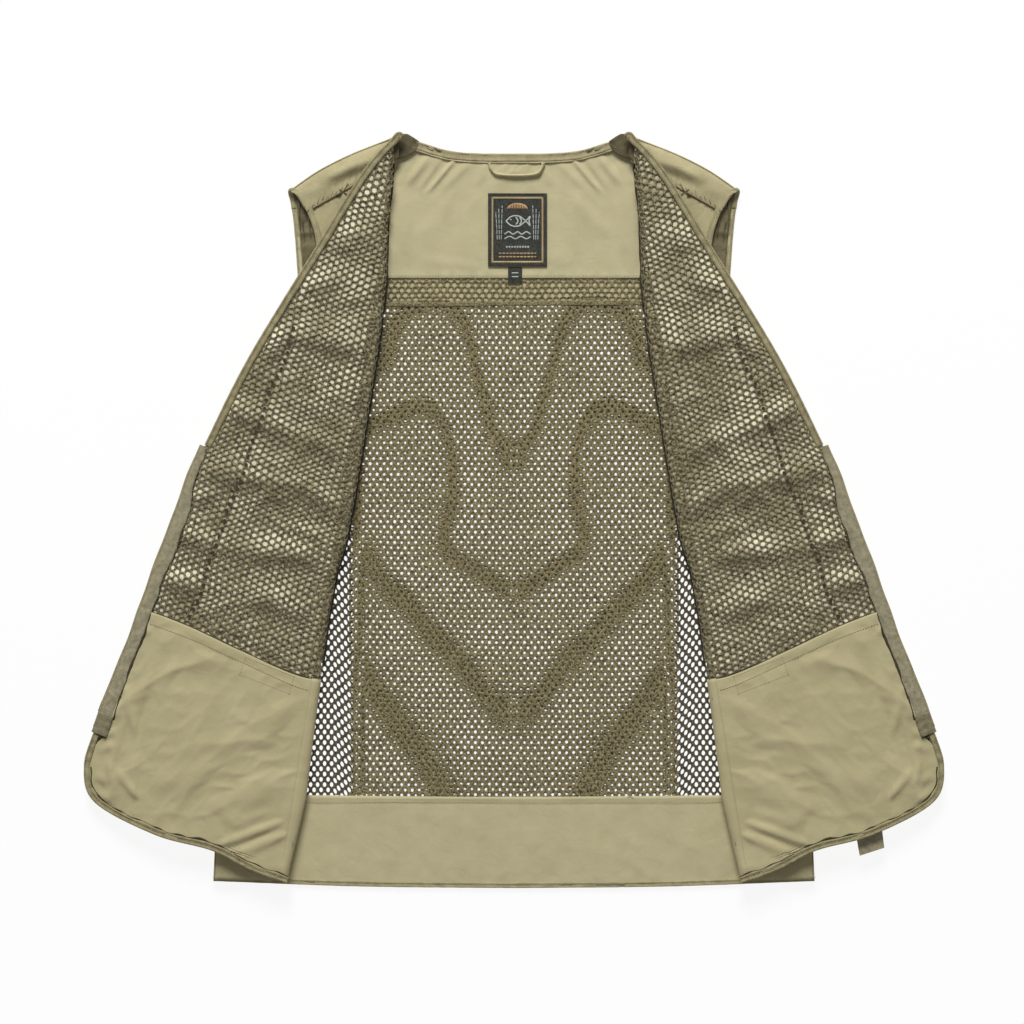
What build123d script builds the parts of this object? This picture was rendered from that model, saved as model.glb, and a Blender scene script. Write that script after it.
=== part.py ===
from build123d import *
import math
import os

os.makedirs("parts", exist_ok=True)

# Sleeveless fishing vest lying on its back, both fronts turned open about their roll lines.
# Millimetres. +Z up from the ground, +Y towards the neck, X across. The right half (+X) is
# drawn and the left half is its mirror image. The origin is on the ground, mid-length.

# Driving dimensions
CLOTH = 0.8             # one woven or lined layer
MESH = 0.6              # one lining mesh layer
BINDING = 7             # width of the bias binding round the front edge
TAPE = 12               # visible width of the front zip tape
COIL = 3.6              # width of one row of zip coil
GAP = 0.3               # room between neighbouring layers and edges
HEM_HALF = 274          # half the width at the hem
YOKE_SEAM = 189         # lower edge of the outer yoke
YOKE_LINING_SEAM = 212  # lower edge of the yoke lining
HEM_BAND_TOP = -260
CENTRE_MESH_HALF = 149  # half width of the doubled mesh in the back
ROLL_TOP = (101, 338)   # the line each front turns about
ROLL_LOW = (210, -336)
ROLL_Z = 11.5
SHELL_Z = 14.2          # underside of the turned front shell
BEND = 112              # distance from the roll line where the turned front starts to droop
DROOP = 0.105           # fall per millimetre beyond that
FAR = 240

# Heights of the layers that stay on the ground
BACK_Z = (0, CLOTH)
LINING_Z = (1.2, 2.0)
WRAP_Z = (0, 2.2)
LABEL_Z = (2.4, 3.0)
SIDE_MESH_Z = (7.0, 7.6)
SIDE_SHELL_Z = (8.0, 8.8)
SEAM_Z = (0, 8.8)

# Heights in the turned front, counted from the underside of its shell
SHELL_W = (0, CLOTH)
MESH_W = (1.1, 1.7)
TAPE_W = (1.1, 2.1)
COIL_W = (-0.6, 0.8)
EDGE_W = (-0.3, 2.0)
POCKET_W = (3.2, 3.8)
HEM_EDGE_W = (-0.3, 4.1)

# Outline curves of the right half, each followed clockwise
NECK = [(0, 326), (31, 326.2), (58, 328.5), (84, 335.8), (106, 343.5)]
SHOULDER = [(114, 339), (149, 325), (178, 310.3), (204.8, 292)]
ARM_BACK = [(204.6, 288), (200.2, 254), (197, 190), (203, 125), (222, 90), (256.6, 64.6)]
ARM_FRONT = [(196, 287), (187.5, 270), (180, 243), (178, 190), (194, 122), (222, 86), (256.6, 64.6)]
SIDE = [(257, 57), (273.8, -332)]
HEM = [(HEM_HALF, -337.6), (140, -342.5), (0, -344)]
FRONT_EDGE = [(107, 342), (136.5, 309.4), (178.4, 242), (241.2, 139), (281, 60.5)]
ZIP = [(284, 60), (381.5, -196)]
CORNER = [(381.5, -198), (391.3, -232), (381.3, -264.8), (326, -293.7),
          (274, -308), (239, -325.5), (206, -337.5)]
POCKET_MOUTH = [(345, -87), (296.7, -104.7), (250.3, -125.6), (196.6, -149.2), (165, -154)]

run = math.dist(ROLL_TOP, ROLL_LOW)
along = ((ROLL_LOW[0] - ROLL_TOP[0]) / run, (ROLL_LOW[1] - ROLL_TOP[1]) / run)
across = (-along[1], along[0])
parts = {}
whole_neck = [(-x, y) for x, y in NECK[:0:-1]] + NECK
whole_hem = HEM + [(-x, y) for x, y in HEM[-2::-1]]


def on_roll(s, t):
    """Ground position s out from the roll line and t down along it."""
    x = ROLL_TOP[0] + across[0] * s + along[0] * t
    y = ROLL_TOP[1] + across[1] * s + along[1] * t
    return (x, y)


def shifted(points, offset):
    """The points moved sideways, outwards of a clockwise path when positive."""
    moved = []
    for i, (x, y) in enumerate(points):
        before = points[max(i - 1, 0)]
        after = points[min(i + 1, len(points) - 1)]
        dx = after[0] - before[0]
        dy = after[1] - before[1]
        size = math.hypot(dx, dy)
        moved.append((x - dy / size * offset, y + dx / size * offset))
    return moved


def curve(points):
    return Line(*points) if len(points) == 2 else Spline(*points)


def outline(*chains):
    """Closed face from several point chains, each a smooth curve, joined by straight lines."""
    edges = []
    for i, chain in enumerate(chains):
        following = chains[(i + 1) % len(chains)]
        if len(chain) > 1:
            edges.append(curve(chain))
        if math.dist(chain[-1], following[0]) > 0.001:
            edges.append(Line(chain[-1], following[0]))
    return make_face(edges)


def ribbon(points, outer, inner):
    """Strip between two curves parallel to the one through the points."""
    return outline(shifted(points, outer), shifted(points, inner)[::-1])


def prism(face, z_range):
    return extrude(Pos(0, 0, z_range[0]) * face, amount=z_range[1] - z_range[0], dir=(0, 0, 1))


def tall(face):
    return prism(face, (-20, 60))


def rolled(w_range, start=0.5):
    """Layer of the turned front: level near the roll line, drooping beyond the side seam."""
    low = SHELL_Z + w_range[0]
    high = SHELL_Z + w_range[1]
    fall = DROOP * (FAR - BEND)
    profile = Polyline((start, low), (BEND, low), (FAR, low - fall),
                       (FAR, high - fall), (BEND, high), (start, high), close=True)
    top = on_roll(0, -60)
    plane = Plane(origin=(top[0], top[1], 0), x_dir=(*across, 0), z_dir=(*along, 0))
    return extrude(plane * make_face(profile), amount=run + 120)


def both(name, shape):
    """Record a piece of the right half and its mirror image, without corner crumbs."""
    piece = max(shape.solids(), key=lambda solid: solid.volume)
    parts["right_" + name] = piece
    parts["left_" + name] = mirror(piece, about=Plane.YZ)


def whole(shape):
    return (shape + mirror(shape, about=Plane.YZ)).clean()


def strip_across(y_high, y_low):
    return tall(make_face(Polyline((0, y_high), (400, y_high), (400, y_low), (0, y_low), close=True)))


# Back: outer yoke, outer mesh and hem band, then the lining layers above them
back = outline(NECK, SHOULDER, ARM_BACK, SIDE, HEM)
edge_cuts = tall(ribbon(whole_neck, 4, -8.3)) + tall(ribbon(SHOULDER, 5, -1.5))
edge_cuts += tall(ribbon(ARM_BACK, 5, -6.3)) + tall(ribbon(SIDE, 5, -1.5)) + tall(ribbon(whole_hem, 5, -5.3))
yoke_outer = prism(back, BACK_Z) & strip_across(360, YOKE_SEAM + GAP)
mesh_outer = prism(back, BACK_Z) & strip_across(YOKE_SEAM, HEM_BAND_TOP + GAP)
hem_outer = prism(back, BACK_Z) & strip_across(HEM_BAND_TOP, -360)
yoke_inner = prism(back, LINING_Z) & strip_across(360, YOKE_LINING_SEAM + GAP)
hem_inner = prism(back, LINING_Z) & strip_across(HEM_BAND_TOP, -360)
centre = make_face(
    Polyline((0, YOKE_LINING_SEAM), (CENTRE_MESH_HALF, YOKE_LINING_SEAM),
             (CENTRE_MESH_HALF, HEM_BAND_TOP + GAP), (0, HEM_BAND_TOP + GAP), close=True)
)
parts["back_yoke_outer"] = whole(yoke_outer - edge_cuts)
parts["back_mesh_outer"] = whole(mesh_outer - edge_cuts)
parts["hem_band"] = whole(hem_outer - edge_cuts)
parts["yoke_lining"] = whole(yoke_inner - edge_cuts)
parts["back_mesh_lining"] = whole(prism(centre, LINING_Z))
parts["hem_facing"] = whole(hem_inner - edge_cuts)
parts["neck_binding"] = prism(ribbon(whole_neck, 0, -8), WRAP_Z)
parts["back_hem_binding"] = prism(ribbon(whole_hem, 0, -5), WRAP_Z)

# Woven label, its size tab and the hang loop, sewn to the yoke lining just off centre
LABEL_X = 3.2
LABEL_SIZE = (53.7, 66.5)
LABEL_Y = 256.2
parts["woven_label"] = Pos(LABEL_X, LABEL_Y, LABEL_Z[0]) * extrude(Rectangle(*LABEL_SIZE), amount=0.6)
TAB_SIZE = (12.8, 14.6)
tab_top = LABEL_Y - LABEL_SIZE[1] / 2 - 0.6
parts["size_tab"] = Pos(1, tab_top - TAB_SIZE[1] / 2, LABEL_Z[0]) * extrude(Rectangle(*TAB_SIZE), amount=0.5)
LOOP_HALF = 24
LOOP_DROP = 12
LOOP_R = 1.7
loop_top = 317
loop_path = FilletPolyline(
    (LABEL_X - 1 - LOOP_HALF, loop_top), (LABEL_X - 1 - LOOP_HALF + 4, loop_top - LOOP_DROP),
    (LABEL_X - 1 + LOOP_HALF - 4, loop_top - LOOP_DROP), (LABEL_X - 1 + LOOP_HALF, loop_top), radius=5
)
loop_start = Plane(origin=loop_path @ 0, z_dir=loop_path % 0)
parts["hang_loop"] = Pos(0, 0, 2.5 + LOOP_R) * sweep(loop_start * Circle(LOOP_R), path=loop_path)

# Unturned side of each front, from the roll line out to the side seam
side_front = outline([(60, 344), (106, 343.5)], SHOULDER, ARM_FRONT, SIDE, [(150, -342)])
beyond_roll = tall(make_face(Polyline(
    on_roll(0.5, -60), on_roll(300, -60), on_roll(300, run + 60), on_roll(0.5, run + 60), close=True
)))
side_cuts = tall(ribbon(SHOULDER, 5, -1.5)) + tall(ribbon(ARM_FRONT, 5, -6.3)) + tall(ribbon(SIDE, 5, -1.5))
SEAM_LEFT = (80, 332.2)
SEAM_RIGHT = (260, 230.8)
above_seam = tall(make_face(Polyline(SEAM_LEFT, SEAM_RIGHT, (260, 380), (80, 380), close=True)))
seam_room = tall(ribbon([SEAM_LEFT, SEAM_RIGHT], 0, -GAP))
side_shell = (prism(side_front, SIDE_SHELL_Z) & beyond_roll) - side_cuts
both("side_front_mesh", (prism(side_front, SIDE_MESH_Z) & beyond_roll) - side_cuts)
both("shoulder_panel", side_shell & above_seam)
both("side_front_shell", side_shell - above_seam - seam_room)
both("shoulder_fold", prism(ribbon(SHOULDER, 0, -1.2), SEAM_Z))
both("side_seam_tape", prism(ribbon(SIDE, 0, -1.2), SEAM_Z))
both("armhole_binding_back", prism(ribbon(ARM_BACK, 0, -6), WRAP_Z))
both("armhole_binding_front", prism(ribbon(ARM_FRONT, 0, -6), (6.8, 9.0)))

# Turned part of each front: shell, mesh lining and the large inner pocket
front = outline(FRONT_EDGE, ZIP, CORNER, [(90, 345)])
binding_cut = tall(ribbon(FRONT_EDGE, 5, -BINDING - GAP))
corner_cut = tall(ribbon(CORNER, 5, -6.3))
coil_cut = tall(ribbon(ZIP, 5, -COIL - 0.7))
tape_cut = tall(ribbon(ZIP, 5, -TAPE - GAP))
below_mouth = tall(outline(POCKET_MOUTH, [(165, -380)], [(420, -380)], [(420, -87)]))
both("front_shell", (rolled(SHELL_W) & tall(front)) - binding_cut - corner_cut - coil_cut)
both("front_mesh", (rolled(MESH_W) & tall(front)) - binding_cut - corner_cut - tape_cut)
both("inner_pocket", (rolled(POCKET_W) & tall(front) & below_mouth) - corner_cut - tape_cut)
both("edge_binding", rolled(EDGE_W) & tall(ribbon(FRONT_EDGE, 0, -BINDING)))
both("hem_edge_binding", rolled(HEM_EDGE_W) & tall(ribbon(CORNER, 0, -6)))
patch = tall(make_face(Polyline((243, -136), (199.5, -153.5), (204, -168.5), (248.5, -151), close=True)))
both("loop_patch", rolled((1.75, 2.4)) & patch)
both("hook_patch", rolled((2.5, 3.15)) & patch)

# Front zip along the straight part of the edge
zip_run = math.dist(*ZIP)
zip_dir = ((ZIP[0][0] - ZIP[1][0]) / zip_run, (ZIP[0][1] - ZIP[1][1]) / zip_run)


def zip_point(u, v=0):
    """Ground position u up from the zip's lower end and v outwards of its edge."""
    return (ZIP[1][0] + zip_dir[0] * u + zip_dir[1] * v, ZIP[1][1] + zip_dir[1] * u - zip_dir[0] * v)


def zip_piece(u_range, v_range, w_range):
    corners = [zip_point(u, v) for u, v in (
        (u_range[0], v_range[0]), (u_range[1], v_range[0]), (u_range[1], v_range[1]), (u_range[0], v_range[1])
    )]
    return rolled(w_range) & tall(make_face(Polyline(*corners, close=True)))


both("zip_tape", rolled(TAPE_W) & tall(ribbon(ZIP, 0, -TAPE)))
both("zip_coil", zip_piece((13, zip_run - 2), (-COIL, 0), COIL_W))
parts["left_retainer_box"] = mirror(zip_piece((1, 10), (-4, 1), (-1.6, 0.9)), about=Plane.YZ)
parts["right_insertion_pin"] = zip_piece((0.5, 12), (-3, 0), (-0.6, 0.9))

# Slider on the left coil: two plates joined by a post beyond the coil's edge, with the
# pull's bar held between two lugs under the lower plate
PARK = 19.5
lug_out = (-4.2, 0.6)
slider = zip_piece((PARK - 5.5, PARK + 5.5), (-6.5, 2.4), (-2.1, -0.9))
slider += zip_piece((PARK - 5.5, PARK + 5.5), (-6.5, 2.4), (2.4, 3.4))
slider += zip_piece((PARK - 3.5, PARK + 3.5), (0.6, 1.8), (-1.0, 2.5))
for side in lug_out:
    slider += zip_piece((PARK - 2, PARK + 2), (side - 0.6, side + 0.6), (-4.6, -2.0))
BAR_W = -3.7
bar_centre = zip_point(PARK, -1.8)
bar_s = (bar_centre[0] - ROLL_TOP[0]) * across[0] + (bar_centre[1] - ROLL_TOP[1]) * across[1]
bar_z = SHELL_Z + BAR_W - DROOP * (bar_s - BEND)
bar_plane = Plane(origin=(*bar_centre, bar_z), x_dir=(*zip_dir, 0), z_dir=(zip_dir[1], -zip_dir[0], 0))
bar = extrude(bar_plane * Circle(0.4), amount=2.2, both=True)
parts["left_main_slider"] = mirror(slider + bar, about=Plane.YZ)
PULL_LENGTH = 30
pull_side = Pos(-PULL_LENGTH / 2, 0) * Rectangle(PULL_LENGTH, 1.4) + Circle(1.2) - Circle(0.65)
parts["left_main_pull"] = mirror(extrude(bar_plane * pull_side, amount=1.4, both=True), about=Plane.YZ)

# Pockets on the outside of each front; they hang under the shell while it is turned open


def roll_block(s_range, t_range, w_range):
    corners = [on_roll(s, t) for s, t in (
        (s_range[0], t_range[0]), (s_range[1], t_range[0]), (s_range[1], t_range[1]), (s_range[0], t_range[1])
    )]
    return prism(make_face(Polyline(*corners, close=True)), (SHELL_Z + w_range[0], SHELL_Z + w_range[1]))


chest = roll_block((14, 66), (190, 330), (-2.6, -0.3))
both("chest_pocket", fillet(chest.edges().filter_by(Axis.Z), 6))
both("chest_zip", roll_block((34, 46), (196, 324), (-3.4, -2.75)))
both("chest_slider", roll_block((36.5, 43.5), (305, 316), (-4.9, -3.7)))
lower = roll_block((14, 104), (402, 602), (-3.2, -0.3))
both("lower_pocket", fillet(lower.edges().filter_by(Axis.Z), 10))
lid = roll_block((12, 106), (388, 446), (-4.4, -3.6))
both("lower_pocket_lid", fillet(lid.edges().filter_by(Axis.Z), 8))

# Folded webbing loop under the right front's hem
tab_corners = [(309, -284), (333, -276), (336.5, -306), (314, -313)]
parts["right_rod_loop"] = rolled((-2.2, -0.6)) & tall(make_face(Polyline(*tab_corners, close=True)))

for name, shape in parts.items():
    export_step(shape, f"parts/{name}.step")
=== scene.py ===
import math

import bpy
import numpy as np
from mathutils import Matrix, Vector

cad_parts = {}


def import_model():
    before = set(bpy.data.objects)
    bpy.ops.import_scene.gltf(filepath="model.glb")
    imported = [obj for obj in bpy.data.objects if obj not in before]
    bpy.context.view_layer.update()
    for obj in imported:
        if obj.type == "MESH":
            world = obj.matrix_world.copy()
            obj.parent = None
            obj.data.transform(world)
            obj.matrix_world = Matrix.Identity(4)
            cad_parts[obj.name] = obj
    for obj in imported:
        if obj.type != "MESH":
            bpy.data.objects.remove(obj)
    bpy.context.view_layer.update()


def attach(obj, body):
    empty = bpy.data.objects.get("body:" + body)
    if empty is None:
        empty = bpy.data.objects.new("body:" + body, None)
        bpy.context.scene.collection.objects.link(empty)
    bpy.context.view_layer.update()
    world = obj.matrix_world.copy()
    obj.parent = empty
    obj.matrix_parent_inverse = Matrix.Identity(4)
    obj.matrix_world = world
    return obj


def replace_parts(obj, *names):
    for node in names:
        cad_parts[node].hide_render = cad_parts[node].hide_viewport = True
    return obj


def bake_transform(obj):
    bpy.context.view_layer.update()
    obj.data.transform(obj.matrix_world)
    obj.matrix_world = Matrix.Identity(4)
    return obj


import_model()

# Everything below is in millimetres and turned into metres where a mesh is made.
MM = 0.001
rng = np.random.default_rng(11)

TOP = np.array((101.0, 338.0))
LOW = np.array((210.0, -336.0))
RUN = float(np.hypot(*(LOW - TOP)))
ALONG = (LOW - TOP) / RUN
OUT = np.array((-ALONG[1], ALONG[0]))
SHELL_Z, BEND, DROOP, ROLL_Z = 14.2, 112.0, 0.105, 11.5
SIDES = (("left", -1), ("right", 1))

NECK = [(0, 326), (31, 326.2), (58, 328.5), (84, 335.8), (106, 343.5)]
SHOULDER = [(106, 343.5), (114, 339), (149, 325), (178, 310.3), (204.8, 292)]
ARM_BACK = [(204.6, 288), (200.2, 254), (197, 190), (203, 125), (222, 90), (256.6, 64.6)]
ARM_FRONT = [(196, 287), (187.5, 270), (180, 243), (178, 190), (194, 122), (222, 86), (256.6, 64.6)]
SEAM_SIDE = [(256.6, 64.6), (274, -337.6)]
HEM = [(274, -337.6), (140, -342.5), (0, -344)]
FRONT_EDGE = [(107, 342), (136.5, 309.4), (178.4, 242), (241.2, 139), (281, 60.5)]
ZIP = [(284, 60), (381.5, -196)]
CORNER = [(381.5, -198), (391.3, -232), (381.3, -264.8), (326, -293.7),
          (274, -308), (239, -325.5), (206, -337.5)]
MOUTH = [(345, -87), (296.7, -104.7), (250.3, -125.6), (196.6, -149.2), (165, -154)]
# How far the roll bulges past the hinge line, down its length
FOLD_T = np.array([0, 6, 34, 81, 127, 162, 197, 238, 291, 331, 371, 398, 445, 494, 535, 606, 672, 684])
FOLD_S = np.array([7.6, 7.2, 4.4, 1.0, -5.4, -7.4, -8.4, -8.6, -8.8, -8.8, -7.9,
                   -3.6, -2.9, -4.4, -5.5, -8.2, -3.6, -3.3])


# ---------------------------------------------------------------- geometry tools
def smooth(points, step=2.0):
    """Points along a Catmull-Rom curve through the given ones, evenly spaced."""
    p = np.array(points, float)
    if len(p) > 2:
        q = np.vstack([2 * p[0] - p[1], p, 2 * p[-1] - p[-2]])
        fine = []
        for i in range(1, len(q) - 2):
            u = np.linspace(0, 1, 40, endpoint=False)[:, None]
            a, b, c, d = q[i - 1], q[i], q[i + 1], q[i + 2]
            fine.append(0.5 * (2 * b + (c - a) * u + (2 * a - 5 * b + 4 * c - d) * u**2
                               + (3 * b - a - 3 * c + d) * u**3))
        p = np.vstack(fine + [p[-1:]])
    size = np.hypot(*np.diff(p[:, :2], axis=0).T)
    dist = np.concatenate([[0], np.cumsum(size)])
    n = max(int(round(dist[-1] / step)), 2)
    at = np.linspace(0, dist[-1], n + 1)
    return np.stack([np.interp(at, dist, p[:, k]) for k in range(p.shape[1])], -1)


def normals(path):
    """Outward side of a path followed clockwise."""
    d = np.gradient(path[:, :2], axis=0)
    d /= np.hypot(d[:, 0], d[:, 1])[:, None] + 1e-12
    return np.stack([-d[:, 1], d[:, 0]], -1)


def roll_coords(x, y):
    """Distance out from the roll line and down along it."""
    dx, dy = x - TOP[0], y - TOP[1]
    return dx * OUT[0] + dy * OUT[1], dx * ALONG[0] + dy * ALONG[1]


def from_roll(s, t):
    return TOP[0] + OUT[0] * s + ALONG[0] * t, TOP[1] + OUT[1] * s + ALONG[1] * t


def front_z(x, y, w):
    s, _ = roll_coords(x, y)
    return SHELL_Z + w - DROOP * np.logaddexp(0, (s - BEND) / 6) * 6


def fold_s(t):
    return np.interp(t, FOLD_T, FOLD_S)


def join_s(t):
    """Where the flat cloth ends and the rolled cloth starts."""
    return np.maximum(2.0, fold_s(t) + 3.5)


def waves(x, y, size, seed, count=7, stretch=(1.0, 1.0)):
    """Smooth noise from -1 to 1 or so, with features of about that size."""
    r = np.random.default_rng(seed)
    total = 0
    for _ in range(count):
        a = r.uniform(0, 2 * np.pi)
        k = 2 * np.pi / (size * r.uniform(0.7, 1.7))
        total = total + np.sin(k * (np.cos(a) * x * stretch[0] + np.sin(a) * y * stretch[1])
                               + r.uniform(0, 6.28))
    return total / math.sqrt(count)


def creases(x, y, segments):
    """Soft ridges, each (x0, y0, x1, y1, half width, height), fading at both ends."""
    total = np.zeros(np.broadcast(x, y).shape)
    for x0, y0, x1, y1, width, height in segments:
        dx, dy = x1 - x0, y1 - y0
        size = math.hypot(dx, dy)
        u = ((x - x0) * dx + (y - y0) * dy) / size**2
        v = ((x - x0) * -dy + (y - y0) * dx) / size
        total = total + height * np.exp(-(v / width) ** 2) * np.exp(-(((u - 0.5) / 0.42) ** 4))
    return total


def crumple(x, y, size, seed, angle=0.0, spread=0.6, count=4, sharp=2.0):
    """Ridged noise from 0 to 1: creases running roughly along angle, in patches."""
    r = np.random.default_rng(seed)
    bend = size * 0.4 * waves(x, y, size * 4.5, seed + 1000)
    bend2 = size * 0.07 * waves(x, y, size * 1.2, seed + 2000)
    total, weight = 0, 0
    for _ in range(count):
        a = angle + r.uniform(-spread, spread) + np.pi / 2
        k = np.pi / (size * r.uniform(0.75, 1.5))
        ridge = 1 - np.abs(np.sin(k * (np.cos(a) * x + np.sin(a) * y + bend + bend2) + r.uniform(0, 6.28)))
        patch = np.clip(0.5 + 0.75 * waves(x, y, size * 2.6, seed + int(r.integers(9999))), 0, 1)
        total = total + ridge**sharp * patch
        weight += 0.5
    return total / weight


def inside(x, y, polygon):
    poly = np.array(polygon, float)
    hit = np.zeros(x.shape, bool)
    j = len(poly) - 1
    for i in range(len(poly)):
        xi, yi = poly[i]
        xj, yj = poly[j]
        cross = ((yi > y) != (yj > y)) & (x < (xj - xi) * (y - yi) / (yj - yi + 1e-12) + xi)
        hit ^= cross
        j = i
    return hit


def grid_faces(nu, nv):
    i = np.arange(nu)[:, None] * (nv + 1) + np.arange(nv)[None, :]
    return np.stack([i, i + nv + 1, i + nv + 2, i + 1], -1).reshape(-1, 4)


def add(name, verts, faces, material, side=1, smooth_shade=True, sharp=None, inner=None):
    """A mesh object from millimetre vertices; side -1 mirrors it to the left. inner is the number of first faces and
    the material they take, such as the painted-light inside of a front shell."""
    v = np.array(verts, float).reshape(-1, 3)
    faces = [list(f) for f in (faces.tolist() if isinstance(faces, np.ndarray) else faces)]
    if side < 0:
        v = v * (-1, 1, 1)
        faces = [f[::-1] for f in faces]
    mesh = bpy.data.meshes.new(name)
    mesh.from_pydata((v * MM).tolist(), [], faces)
    mesh.update()
    if smooth_shade:
        mesh.shade_smooth()
    if sharp is not None:
        mesh.set_sharp_from_angle(angle=math.radians(sharp))
    mesh.materials.append(material)
    if inner:
        mesh.materials.append(inner[1])
        index = np.zeros(len(faces), int)
        index[:inner[0]] = 1
        mesh.polygons.foreach_set("material_index", index)
    obj = bpy.data.objects.new(name, mesh)
    bpy.context.scene.collection.objects.link(obj)
    return obj


def slab(points, thick):
    """Closed thin sheet under a grid of top points."""
    nu, nv = points.shape[0] - 1, points.shape[1] - 1
    top = points.reshape(-1, 3)
    low = top - (0, 0, thick)
    n = len(top)
    faces = grid_faces(nu, nv)
    index = np.arange(n).reshape(nu + 1, nv + 1)
    loop = np.concatenate([index[:, 0], index[-1, 1:], index[-2::-1, -1], index[0, -2:0:-1]])
    after = np.roll(loop, -1)
    rim = np.stack([loop + n, after + n, after, loop], -1)
    all_faces = np.vstack([faces, faces[:, ::-1] + n, rim])
    a, b = points[1, 0] - points[0, 0], points[0, 1] - points[0, 0]
    if a[0] * b[1] - a[1] * b[0] < 0:
        all_faces = all_faces[:, ::-1]
    return np.vstack([top, low]), all_faces


def tube(path, profile, across=None, lift=None, caps=True):
    """Closed strip: profile (offset, height) pairs carried along a 3-D path; profile may be one
    per path point."""
    path = np.array(path, float)
    n = len(path)
    prof = np.array(profile, float)
    if prof.ndim == 2:
        prof = np.broadcast_to(prof, (n, *prof.shape))
    k = prof.shape[1]
    if across is None:
        across = np.column_stack([normals(path), np.zeros(n)])
    if lift is None:
        lift = np.broadcast_to(np.array((0, 0, 1.0)), (n, 3))
    v = path[:, None, :] + prof[:, :, :1] * across[:, None, :] + prof[:, :, 1:] * lift[:, None, :]
    v = v.reshape(-1, 3)
    i = np.arange(n - 1)[:, None] * k + np.arange(k)[None, :]
    j = np.arange(n - 1)[:, None] * k + (np.arange(k)[None, :] + 1) % k
    faces = np.stack([i, j, j + k, i + k], -1).reshape(-1, 4).tolist()
    if caps:
        faces += [list(range(k))[::-1], list(range((n - 1) * k, n * k))]
    return v, faces


def flat_profile(inner, outer, low, high, ridge=0.0, rim=0.0):
    """Rounded strip section between two offsets, with a raised rim along each side."""
    m = (inner + outer) / 2
    e = 0.13 * (outer - inner)
    mid = (low + high) / 2
    return [(outer, mid), (outer - e * 0.4, high - 0.25), (outer - e, high + rim), (outer - 2.1 * e, high),
            (m, high + ridge), (inner + 2.1 * e, high), (inner + e, high + rim), (inner + e * 0.3, high - 0.3),
            (inner, mid), (inner + e * 0.3, low + 0.2), (inner + e, low), (outer - e, low),
            (outer - e * 0.3, low + 0.2)]


def merge(parts):
    """Several (verts, faces) as one."""
    verts, faces, base = [], [], 0
    for v, f in parts:
        verts.append(np.array(v, float).reshape(-1, 3))
        faces += [[i + base for i in q] for q in (f.tolist() if isinstance(f, np.ndarray) else f)]
        base += len(verts[-1])
    return np.vstack(verts), faces


def stitches(path, pitch=2.7, size=1.9, radius=0.22, sink=0.05):
    """A row of short sewn stitches along a 3-D path."""
    p = smooth(path, pitch) if len(path) > 2 else smooth([path[0], path[-1]], pitch)
    d = np.gradient(p, axis=0)
    d /= np.linalg.norm(d, axis=1)[:, None] + 1e-12
    side = np.cross(d, (0, 0, 1.0))
    up = np.cross(side, d)
    rings = []
    for u, r in ((-0.5, 0.35), (-0.3, 1.0), (0.3, 1.0), (0.5, 0.35)):
        for a, b in ((1, 0), (0, 1), (-1, 0), (0, -1)):
            rings.append(p + d * u * size + side * a * r * radius + up * (b * r * radius - sink + 0.1 * r))
    v = np.stack(rings, 1)
    base = np.arange(len(p))[:, None, None] * 16
    quads = []
    for ring in range(3):
        for k in range(4):
            a, b = ring * 4 + k, ring * 4 + (k + 1) % 4
            quads.append([a, a + 4, b + 4, b])
    quads += [[0, 1, 2, 3], [15, 14, 13, 12]]
    return v.reshape(-1, 3), (np.array(quads)[None] + base).reshape(-1, 4)


PITCH, ROW = 6.4, 4.8


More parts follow.
